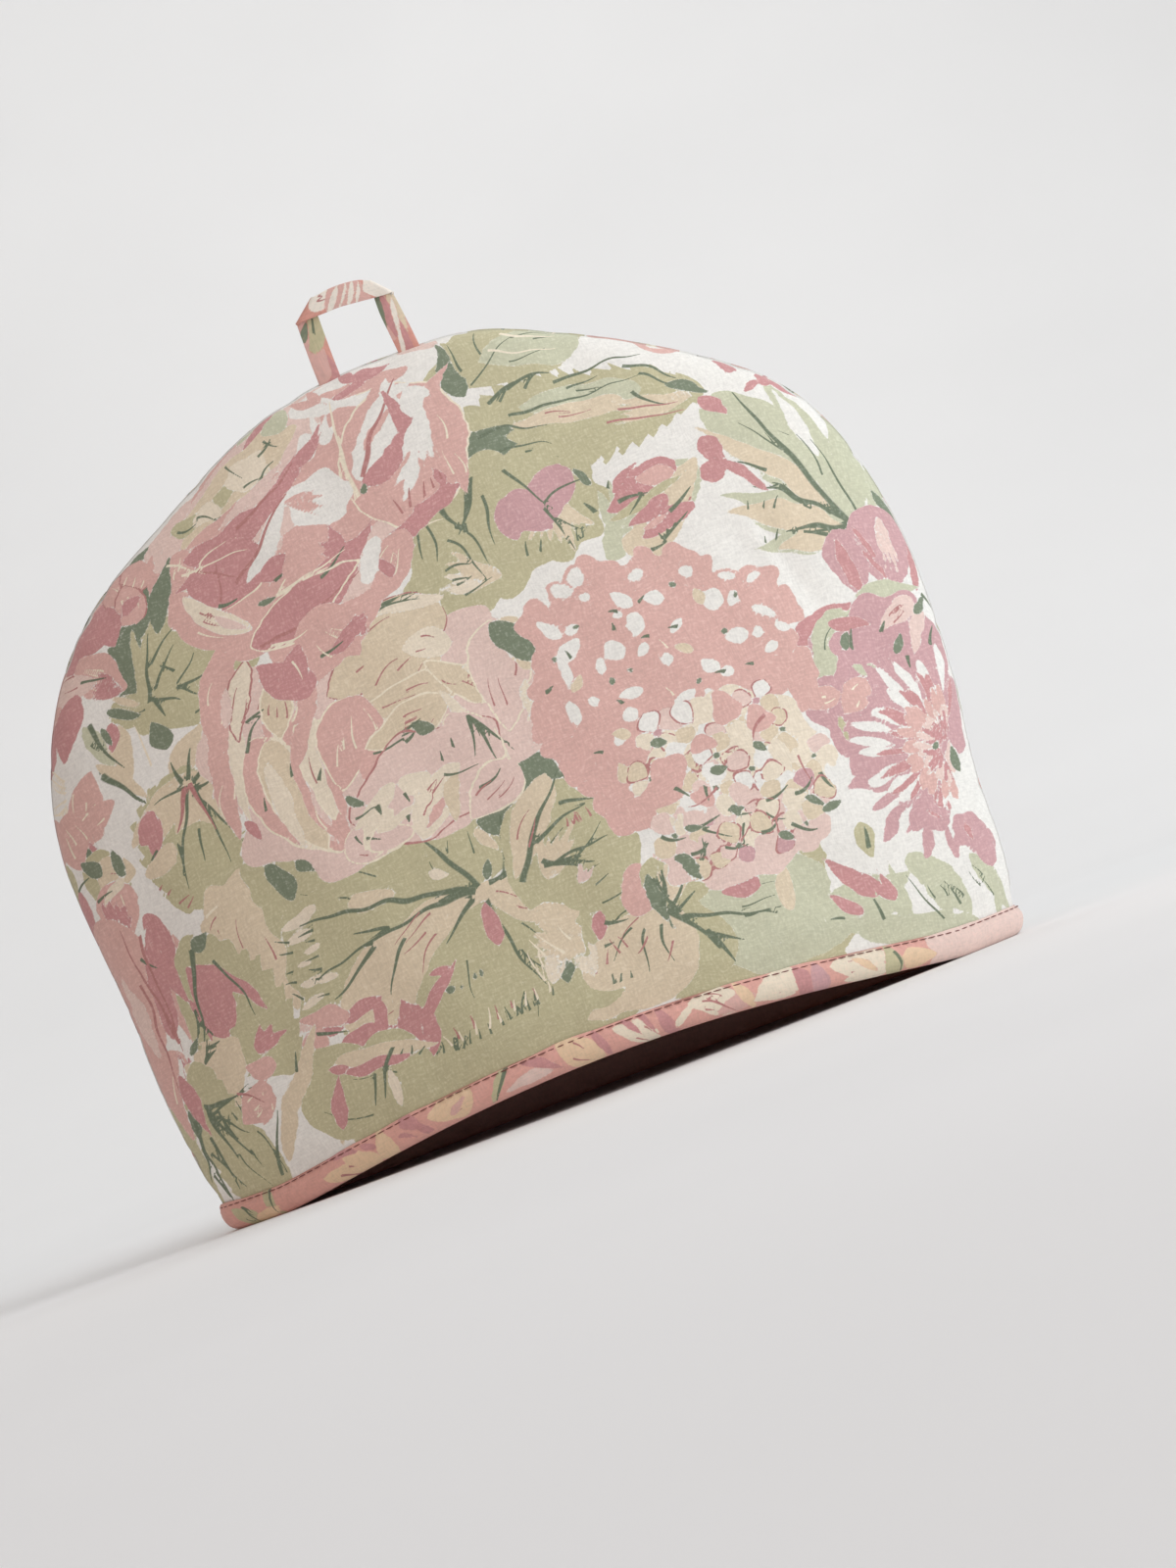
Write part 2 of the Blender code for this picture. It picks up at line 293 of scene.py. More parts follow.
def ticks(cloth, line, at, angle, length, width, count):
    """A row of short brush ticks across a direction."""
    turn = math.radians(angle)
    for step in range(round(count)):
        far = length * (step + cloth.chance.uniform(-0.2, 0.2)) / count
        place = (at[0] + far * math.cos(turn), at[1] + far * math.sin(turn))
        long = width * cloth.chance.uniform(0.6, 1.1)
        lean = cloth.chance.uniform(60, 95)
        cloth.stroke(line, place, angle + lean, long, TICK_WIDTH, cloth.chance.uniform(-0.2, 0.2))


VEIN_LINES = {
    "rose_pale": "line_rose",
    "rose": "line_cream",
    "tan": "line_rose",
    "cream": "line_rose",
    "sage_light": "line_green",
    "sage": "line_green",
}


def veins(cloth, ink, at, angle, length, width, bend):
    """Two or three fine lines that follow a petal or leaf."""
    if ink not in VEIN_LINES or length < VEINED_LENGTH or width < VEINED_WIDTH:
        return
    turn = math.radians(angle)
    for hand in np.linspace(-1, 1, cloth.chance.integers(2, 4)):
        share, aside = cloth.chance.uniform(0.2, 0.55), hand * width * cloth.chance.uniform(0.12, 0.3)
        far = share * length
        aside += bend * length * share**2
        x = at[0] + far * math.cos(turn) - aside * math.sin(turn)
        z = at[1] + far * math.sin(turn) + aside * math.cos(turn)
        lean = angle + math.degrees(math.atan(2 * bend * share)) + 10 * hand
        long = length * cloth.chance.uniform(0.18, 0.38)
        cloth.stroke(VEIN_LINES[ink], (x, z), lean, long, VEIN_WIDTH, bend - 0.25 * hand)


def paint(cloth, rows):
    """Prints a table of shapes. A row is a kind and an ink, and then the shapes of that kind
    and ink: x, z, angle, length, width, and one number more that is a blob's lobes, a bend,
    a fan's spread or a count of ticks, or 0 if it isn't given, and the colour of any outline."""
    for kind, ink, *shapes in rows:
        for x, z, angle, length, width, *rest in shapes:
            paint_shape(cloth, kind, ink, (x, z), (angle, length, width), *rest)


def paint_shape(cloth, kind, ink, at, size, more=0, rim=None):
    """Prints one shape of a table."""
    if kind == "blob":
        cloth.blob(ink, at, *size, more, phase=sum(at), rim=rim)
    elif kind == "blade":
        cloth.blade(ink, at, *size, more, rim=rim)
    elif kind == "petal":
        cloth.blade(ink, at, *size, more, *PETAL_FORM, rim=rim)
        veins(cloth, ink, at, *size, more)
    elif kind == "toothed":
        teeth = round(size[1] / TOOTH_LENGTH)
        cloth.blade(ink, at, *size, more, *LEAF_FORM, teeth, rim)
    elif kind == "fan":
        fan(cloth, ink, at, *size, more)
    elif kind == "ticks":
        ticks(cloth, ink, at, *size, more)
    else:
        cloth.stroke(ink, at, *size, more)


EYE_DISTANCE = 1.20  # from the seam to whoever looks at the front
EYE_HEIGHT = 0.040
NEAR_SEAM = 0.995


@functools.cache
def front_spot(at):
    """Where a place that is seen from in front lies on the flat cloth, in mm."""
    x, z = np.array([at[0] * MM]), np.array([at[1] * MM])
    nearer = 1 - PANEL_DEPTH * bulge(reach(x, z, 0.0)) / EYE_DISTANCE
    x, z = x * nearer, EYE_HEIGHT + (z - EYE_HEIGHT) * nearer
    u, v = cloth_place(x, z, np.minimum(reach(x, z, 0.0), NEAR_SEAM))
    return u[0], v[0]


TOP_LEAVES = (
    # the broad leaf under the loop's right root, and the toothed leaf below it
    ("petal", "sage", (18, 248, 12, 66, 34, 0.02)),
    ("petal", "sage_light", (40, 250, 4, 38, 20)),
    ("blob", "rose_pale", (22, 263, -12, 16, 7, 3)),
    ("blade", "bottle", (31, 240, 102, 26, 9, -0.1)),
    ("blade", "sage", (34, 246, 96, 20, 5, 0.1)),
    ("line", "line_green", (33, 249, 112, 12, 1.1, -0.3), (42, 252, 100, 10, 1, -0.2)),
    ("line", "line_cream", (49, 256, -30, 20, 1.2, 0.3), (53, 259, -30, 18, 1, 0.3),
        (45, 252, -25, 22, 1, 0.2)),
    ("line", "line_green", (34, 243, 32, 24, 0.8, 0.1)),
    ("toothed", "sage", (20, 224, 3, 90, 42, -0.11), (22, 214, 8, 62, 26, -0.05)),
    ("petal", "sage_light", (48, 231, -4, 42, 14, -0.1)),
    ("petal", "tan", (44, 226, 0, 40, 9, -0.08)),
    ("fan", "tan", (104, 213, 172, 34, 3.4, 22)),
    ("line", "line_rose", (74, 216, -10, 28, 1, -0.02), (80, 219, -12, 20, 1, -0.05)),
    ("line", "line_green", (44, 229, 8, 46, 1.1, -0.14), (38, 236, 30, 18, 1.5, -0.3),
        (46, 238, 20, 16, 1.5, -0.2), (52, 236, 50, 7, 1.2, -0.2), (42, 235, 52, 7, 1.2, -0.2),
        (62, 236, 14, 32, 1.3, -0.2), (66, 233, 18, 12, 0.9, -0.2), (86, 233, -24, 20, 1.6, -0.25),
        (90, 227, -30, 16, 1.2, -0.2), (86, 223, -62, 13, 1.1, 0.35), (44, 216, -10, 12, 0.9, -0.2)),
    ("blade", "bottle", (97, 221, -28, 15, 5, -0.05), (26, 224, 14, 18, 6, -0.2),
        (25, 222, -12, 17, 10, 0.1), (27, 229, -80, 16, 6, 0.1)),
    ("line", "line_green", (30, 225, 16, 24, 1.3, -0.4), (34, 219, 8, 20, 1.1, -0.3)),
)

MAUVE_LEAF = (
    # the round leaf with a mauve patch, and the fringed tan one beside it
    ("blob", "sage", (22, 196, 0, 52, 52, 7), (44, 196, 0, 44, 42, 9), (10, 184, 20, 44, 34, 7)),
    ("fan", "tan", (47, 200, -92, 26, 4, 80)),
    ("petal", "mauve", (44, 187, 124, 20, 15, 0.1), (42, 188, 68, 25, 15, -0.12), (32, 187, 95, 16, 10)),
    ("line", "line_green", (35, 212, -62, 22, 1.2, 0.1), (44, 196, -74, 20, 1.4, -0.05),
        (45, 197, 38, 16, 1, -0.4), (44, 192, -30, 14, 1, -0.2)),
    ("blade", "bottle", (62, 198, 112, 9, 3.2, 0.1)),
    ("line", "line_green", (61, 188, 110, 6, 1.6, 0.1)),
    ("ticks", "line_green", (32, 181, 0, 9, 5, 2), (48, 180, 0, 8, 7, 3)),
    ("blob", "bottle", (56, 184, 0, 1.8, 1.6)),
    ("fan", "tan", (22, 178, 160, 24, 3.5, 50)),
    ("fan", "cream", (14, 178, 165, 14, 2.4, 40)),
    ("ticks", "line_green", (4, 186, -70, 14, 10, 4)),
    ("line", "line_green", (24, 214, -110, 22, 1.8, -0.2), (20, 210, -115, 16, 1.4, 0.2),
        (10, 208, -75, 12, 1.8, 0.3), (25, 206, -100, 18, 1.3, 0.1), (13, 200, -50, 18, 1.3, -0.4),
        (8, 196, -45, 18, 1.2, -0.4), (4, 204, -85, 14, 1.2, -0.2), (0, 204, -105, 12, 1.1, 0.1)),
    ("line", "line_cream", (-2, 203, 20, 12, 1.1, -0.3)),
)

LEFT_LEAVES = (
    # what turns over the seam down the left side
    ("blob", "sage", (-150, 24, 86, 50, 14)),
    ("blob", "rose", (-153, 78, 88, 64, 14)),
    ("blob", "rose_deep", (-157, 121, 90, 20, 14)),
    ("blob", "sage", (-158, 133, 90, 14, 14)),
    ("blob", "rose", (-158, 148, 90, 20, 16)),
    ("blob", "rose_deep", (-147, 180, 70, 24, 12)),
    ("blob", "rose", (-137, 195, 50, 24, 12)),
    ("blob", "rose_deep", (-124, 208, 46, 26, 12)),
    ("blob", "rose", (-110, 221, 40, 26, 14)),
    ("blob", "bottle", (-95, 231, 34, 16, 12)),
    ("blob", "rose_pale", (-80, 239, 30, 34, 14)),
    ("blob", "rose", (-58, 252, 26, 30, 9)),
    ("blob", "sage_light", (-40, 259, 16, 20, 9)),
    # the veined leaf at the left with the dark gaps behind it, and the tan one below
    ("blob", "bottle", (-104, 205, 60, 44, 24, 5)),
    ("blade", "bottle", (-96, 214, 70, 24, 7)),
    ("toothed", "sage", (-112, 176, 48, 56, 46, 0.02)),
    ("blob", "sage", (-96, 186, 20, 44, 34, 5), (-78, 186, 40, 30, 20)),
    ("blob", "bottle", (-111, 200, 76, 30, 14, 3), (-97, 217, 46, 32, 14, 3)),
    ("blade", "sage", (-109, 184, 74, 28, 7, -0.05), (-104, 194, 66, 24, 6, 0.1)),
    ("blade", "bottle", (-110, 190, 100, 14, 4)),
    ("blade", "sage", (-112, 178, 84, 34, 6, -0.05)),
    ("blade", "bottle", (-116, 180, 84, 32, 8, -0.08)),
    ("petal", "sage", (-106, 182, 176, 20, 12)),
    ("blade", "bottle", (-125, 185, -40, 16, 4, 0.25)),
    ("line", "line_green", (-109, 182, 76, 26, 1.4, -0.05), (-106, 186, 56, 18, 1, -0.2),
        (-104, 194, 50, 18, 1, -0.2), (-99, 182, 8, 16, 1.4, 0.1), (-98, 184, 40, 14, 1, 0.1),
        (-97, 190, 120, 6, 1.2, 0.3), (-97, 182, -35, 8, 1.2, 0.1), (-108, 183, -30, 12, 1.6),
        (-107, 182, -70, 8, 1.6), (-80, 187, 30, 14, 1.2), (-76, 189, -25, 6, 1),
        (-95, 173, 5, 9, 1, 0.2)),
    ("blade", "bottle", (-108, 164, 104, 12, 9)),
    ("blade", "tan", (-112, 183, 160, 14, 3, -0.3)),
    ("blob", "tan", (-98, 158, 30, 36, 18, 5)),
    ("toothed", "sage", (-104, 156, -112, 50, 44, 0.02)),
    ("fan", "tan", (-106, 154, -100, 34, 8, 110)),
    ("toothed", "sage", (-110, 136, -95, 30, 36)),
    ("petal", "rose_deep", (-126, 130, 66, 16, 8, 0.2), (-129, 136, 40, 12, 6, 0.1)),
    ("line", "line_green", (-124, 133, -160, 8, 1.3, 0.4), (-106, 149, -118, 30, 1.5, 0.04)),
    ("line", "line_rose", (-107, 149, -125, 16, 2, 0.05), (-105, 150, -84, 18, 1.8, 0.05)),
    ("line", "line_green", (-104, 148, -82, 30, 1.2, -0.05), (-105, 146, -60, 26, 1.2, -0.1),
        (-107, 149, 170, 13, 1.2, 0.25), (-116, 132, -100, 16, 1), (-108, 134, -100, 12, 1),
        (-107, 151, 112, 9, 2, -0.2), (-105, 151, 60, 11, 1.8, 0.1), (-104, 150, 20, 8, 1.6, 0.3),
        (-104, 148, -10, 8, 1.4, 0.3)),
    ("ticks", "line_rose", (-130, 120, -50, 18, 5, 4)),
    ("blob", "tan", (-108, 92, 80, 46, 26, 5)),
    ("petal", "tan", (-104, 104, 200, 20, 12, 0.1)),
    ("line", "line_rose", (-114, 98, -22, 8, 1.4, 0.1)),
    ("line", "line_cream", (-116, 104, 25, 22, 1, -0.3)),
)

ROSE = (
    # the deep pink rose, from its outer petals to its heart
    ("blob", "rose", (-34, 221, 20, 114, 66, 7)),
    ("petal", "rose", (-64, 184, 30, 66, 44, 0.1)),
    ("blob", "rose", (-44, 183, 16, 44, 30, 3)),
    ("petal", "rose", (-66, 214, 150, 36, 30, -0.1)),
    ("blob", "rose_pale", (-46, 224, 24, 40, 14, 3), (-84, 224, 40, 22, 14, 3)),
    ("petal", "rose_pale", (-40, 190, 24, 40, 16, 0.1), (-52, 218, 146, 46, 30, 0.05)),
    ("petal", "cream", (-86, 222, -65, 26, 7, 0.25)),
    ("petal", "rose", (-90, 217, -64, 36, 20, 0.22)),
    ("petal", "cream", (-86, 214, -64, 29, 9, 0.26)),
    ("blade", "rose_pale", (-78, 204, -56, 16, 4, 0.2)),
    ("blob", "rose", (5, 231, 70, 54, 46, 0, "line_cream")),
    ("blob", "rose_pale", (-52, 245, 26, 84, 26, 5)),
    ("petal", "rose_deep", (-30, 262, 215, 26, 12, 0.2)),
    ("blob", "tan", (-55, 245, 24, 56, 19, 7)),
    ("blob", "sage", (-76, 239, 10, 14, 7, 3), (-60, 243, 30, 10, 5, 3)),
    ("blob", "sage_light", (-34, 258, 30, 12, 8, 3)),
    ("blob", "cream", (-49, 247, 10, 18, 12, 5), (-68, 240, 10, 12, 7, 3)),
    ("line", "line_green", (-56, 252, -80, 9, 1, 0.4), (-53, 243, 20, 8, 1, -0.5),
        (-46, 242, 60, 9, 1, -0.4), (-43, 250, 20, 7, 1, 0.4), (-40, 254, -60, 5, 1, 0.4),
        (-72, 240, -10, 8, 1.1, -0.5), (-80, 238, -30, 7, 1.2, 0.5), (-66, 237, 0, 7, 1.1, 0.1),
        (-50, 240, 10, 5, 1.1, 0.3)),
    ("petal", "rose", (-88, 216, 62, 18, 13, 0.1)),
    ("blade", "rose_deep", (-82, 227, -6, 46, 13, 0.22)),
    ("blade", "rose", (-80, 231, 8, 44, 6, 0.12)),
    ("blade", "rose_deep", (-66, 222, 175, 22, 8, 0.35)),
    ("petal", "rose_deep", (-74, 205, 56, 26, 27, 0, "line_cream"), (-74, 206, 100, 18, 16, 0.1)),
    ("line", "line_rose", (-74, 208, 70, 16, 0.9, 0.1)),
    ("line", "line_green", (-75, 207, -18, 8, 1.8, 0.2)),
    ("line", "line_cream", (-84, 222, 2, 26, 1, -0.1)),
    ("line", "line_rose", (-78, 222, -44, 16, 1.3, 0.2)),
    ("blade", None, (-62, 210, 42, 36, 7, 0.08)),
    ("blade", "rose_deep", (-57, 209, 20, 18, 9, -0.2)),
    ("line", "line_rose", (-66, 212, 34, 40, 1.6, 0.14)),
    ("line", "line_green", (-53, 207, 20, 12, 1.2, -0.2)),
    ("blob", "rose", (-34, 212, 10, 30, 24, 5)),
    ("blob", None, (-28, 228, -15, 24, 21, 5)),
    ("fan", "rose", (-40, 231, -20, 15, 1.8, 56)),
    ("blob", None, (-27, 247, 70, 11, 7)),
    ("fan", None, (-21, 245, 62, 14, 4, 60)),
    ("blade", "rose_deep", (-52, 230, 30, 42, 6, 0.12)),
    ("blade", "rose_pale", (-66, 233, 16, 34, 5, 0.14)),
    ("line", "line_rose", (-60, 229, 22, 40, 1.3, 0.16)),
    ("blade", "rose_deep", (-34, 240, 48, 18, 5, -0.2)),
    ("blob", None, (-17, 259, 0, 22, 12, 3)),
    ("petal", "rose", (-16, 260, -14, 30, 8, 0.16), (-2, 252, 34, 20, 6, -0.2)),
    ("blade", "rose_deep", (-12, 258, 4, 18, 4, 0.2)),
    ("blade", "rose", (-27, 262, -40, 16, 4, 0.2), (-20, 264, -66, 13, 2.6, 0.1)),
    ("blade", "rose_deep", (-8, 265, -50, 10, 6), (-4, 262, -10, 16, 6, 0.2)),
    ("blob", None, (-1, 240, 60, 30, 18, 3), (-6, 232, 20, 16, 14)),
    ("fan", None, (4, 250, 40, 14, 4, 50)),
    ("blade", "rose", (-8, 236, 48, 22, 3.6, -0.1), (-12, 238, 60, 16, 3, -0.1)),
    ("blade", "rose_deep", (-13, 225, 14, 32, 9, 0.42)),
    ("line", "line_rose", (-11, 228, 66, 38, 2, -0.2)),
    ("line", "line_cream", (-15, 222, 96, 40, 1.8, -0.16)),
    ("blade", "rose_deep", (9, 232, 92, 26, 6, 0.16)),
    ("blade", "rose", (14, 236, 64, 26, 6, -0.2)),
    ("blob", None, (15, 246, 40, 12, 12, 3)),
    ("fan", None, (17, 243, -110, 32, 5, 46), (20, 238, -84, 20, 3.4, 16), (8, 228, -130, 20, 4, 24)),
    ("petal", "rose", (20, 208, 82, 40, 10, 0.14)),
    ("blob", "rose_deep", (6, 209, 24, 26, 8, 7), (-4, 205, 0, 14, 7, 5)),
    ("blade", "rose_deep", (13, 214, 80, 9, 4, 0.3)),
    ("ticks", "line_rose", (-2, 211, 20, 20, 6, 5)),
    ("blob", "bottle", (-12, 224, 50, 4, 3)),
    ("blade", "rose_deep", (-60, 187, 14, 50, 17, 0.3), (-69, 188, 12, 48, 17, 0.08, "line_cream")),
    ("line", "line_rose", (-66, 187, 2, 44, 1.3, 0.24)),
    ("fan", "rose_deep", (-26, 206, 130, 14, 4, 60)),
    ("line", "line_cream", (-60, 202, -2, 34, 1.2, 0.16)),
    ("blade", "bottle", (-62, 203, -14, 9, 2.4)),
    ("line", "line_green", (-38, 201, 14, 14, 1.2, 0.3)),
    ("petal", "rose", (-24, 184, 44, 30, 14, 0.1)),
    ("blob", None, (-19, 200, 62, 17, 7)),
    ("blade", "rose_deep", (-14, 192, 100, 8, 5)),
    ("blade", "bottle", (-98, 204, 74, 31, 8, -0.08)),
    ("line", "line_cream", (-88, 228, -28, 18, 1.1, -0.2)),
    ("petal", "rose", (-34, 170, 120, 26, 22, 0.1)),
    ("petal", "rose_deep", (-70, 181, -52, 24, 15, 0.14), (-53, 183, -112, 19, 11, -0.1)),
    ("line", "line_cream", (-57, 178, -70, 9, 1, -0.2)),
    ("blade", "rose_deep", (-44, 175, 8, 18, 7, 0.3)),
    ("fan", "rose_deep", (-32, 176, 60, 11, 4, 40)),
    ("line", "line_green", (-47, 175, 14, 9, 1.6, -0.1)),
    ("line", "line_cream", (-62, 186, -14, 14, 1, 0.2)),
)

PALE_ROSE = (
    # the pale rose below it, beige and shell pink
    ("blob", "rose_pale", (-37, 138, 8, 118, 78, 9), (6, 141, 90, 46, 40, 5), (-82, 160, 66, 50, 30, 5)),
    ("petal", "rose", (-96, 124, 88, 44, 10, -0.16), (-92, 152, 84, 42, 13, -0.2)),
    ("petal", "cream", (-90, 128, 86, 40, 6, -0.14), (-84, 156, 78, 30, 8, -0.14, "line_rose")),
    ("blade", "rose_pale", (-86, 164, 78, 14, 4, -0.1)),
    ("petal", "rose", (-76, 140, 68, 40, 22, -0.1)),
    ("petal", "rose_pale", (-80, 150, 50, 34, 16, 0.1)),
    ("petal", "rose", (-76, 152, 60, 26, 6, 0.05)),
    ("petal", "tan", (-70, 152, 82, 24, 12, -0.1, "line_cream")),
    ("petal", "rose", (-62, 106, 122, 52, 24, -0.18, "line_cream")),
    ("petal", "rose_pale", (-60, 106, 118, 44, 15, -0.18)),
    ("petal", "tan", (-68, 108, 106, 46, 15, -0.1, "line_cream")),
    ("petal", "cream", (-74, 112, 104, 34, 6, -0.14)),
    ("petal", "rose", (-60, 104, 104, 50, 14, -0.18)),
    ("blade", "rose_pale", (-64, 116, 100, 34, 4, -0.14)),
    ("petal", "cream", (-62, 118, 82, 38, 15, 0.1, "line_cream")),
    ("blade", "rose", (-58, 116, 88, 30, 4, 0.1), (-70, 140, 60, 26, 6, -0.1)),
    ("petal", "tan", (-50, 160, 20, 50, 26, 0, "line_rose"), (-38, 148, 42, 34, 26, -0.1)),
    ("petal", "cream", (-20, 166, -6, 18, 12, -0.1)),
    ("petal", "tan", (-42, 150, -4, 36, 14, 0, "line_cream")),
    ("petal", "rose", (-55, 126, 75, 34, 20, -0.08, "line_cream"), (-46, 124, 76, 34, 14, 0.1)),
    ("petal", "tan", (-44, 138, 4, 32, 15, 0.06, "line_cream"),
        (-14, 158, -50, 30, 12, 0.1, "line_cream")),
    ("petal", "cream", (-2, 152, -38, 24, 6, -0.1), (-14, 148, -62, 38, 5, -0.05)),
    ("petal", "rose_pale", (6, 124, 78, 40, 20, 0.05, "line_cream")),
    ("fan", "cream", (17, 140, -100, 16, 2, 30)),
    ("blob", "rose_pale", (-26, 118, 8, 56, 36, 5, "line_rose")),
    ("petal", "rose_pale", (-2, 104, 100, 34, 16, 0.1, "line_cream")),
    ("blob", "rose_pale", (-12, 122, 0, 26, 24, 5)),
    ("blob", "cream", (-32, 119, -10, 12, 8, 3)),
    ("petal", "rose_pale", (-46, 100, 150, 18, 14, 0, "line_cream")),
    ("petal", "cream", (-56, 103, 50, 16, 7, -0.2, "line_cream"), (-57, 112, 18, 20, 6, 0.2),
        (-36, 99, 60, 20, 14, -0.1)),
    ("petal", "rose", (-34, 102, 40, 18, 5, 0.1)),
    ("petal", "cream", (-38, 110, 14, 24, 8, 0.16)),
    ("petal", "tan", (-24, 100, 74, 18, 6, -0.1)),
    ("petal", "rose_pale", (-18, 100, 24, 24, 16, 0.1, "line_cream")),
    ("blob", "rose_pale", (-46, 104, 0, 16, 9, 3, "line_cream")),
    ("petal", "cream", (-50, 107, 10, 14, 4, 0.1)),
    ("line", "line_green", (-42, 135, -12, 16, 1, 0.3), (-30, 134, 20, 8, 1, 0.3)),
    ("blade", "bottle", (-26, 139, -22, 10, 4.4, -0.1)),
    ("line", "line_green", (-30, 137, 20, 9, 1.1), (-6, 134, -60, 18, 1.6, 0.1),
        (-6, 135, -100, 16, 1.2), (-5, 132, -80, 16, 1.6), (-4, 130, -50, 16, 1, -0.1),
        (-21, 118, -22, 12, 1, 0.2), (-11, 109, 10, 9, 1, 0.3), (-20, 122, 70, 4, 1, 0.2),
        (-15, 126, 80, 4, 1, 0.1)),
    ("blade", "bottle", (-56, 124, -40, 8, 3)),
    ("line", "line_green", (-55, 116, -10, 7, 1.1, 0.3), (-47, 117, -75, 4, 2), (-37, 117, -80, 4, 1.3),
        (-54, 107, -35, 6, 1.2, 0.1), (-58, 110, -80, 5, 1.1, 0.2), (-38, 109, -90, 3, 1.4),
        (-83, 152, 60, 14, 1.2, -0.2), (-79, 162, 22, 8, 1.5), (-83, 130, 80, 5, 1),
        (-63, 133, 60, 5, 1.6), (-71, 138, 80, 6, 1.2)),
    ("blade", "rose_deep", (-92, 130, -62, 10, 4)),
    ("line", "line_green", (-26, 182, 14, 18, 1, -0.2)),
    ("petal", "cream", (-24, 180, 6, 24, 5, -0.2)),
    ("line", "line_green", (-24, 181, 14, 16, 1, -0.3)),
    ("blob", "tan", (21, 152, -62, 25, 15)),
    ("blade", "bottle", (11, 163, -52, 24, 11, -0.1)),
)


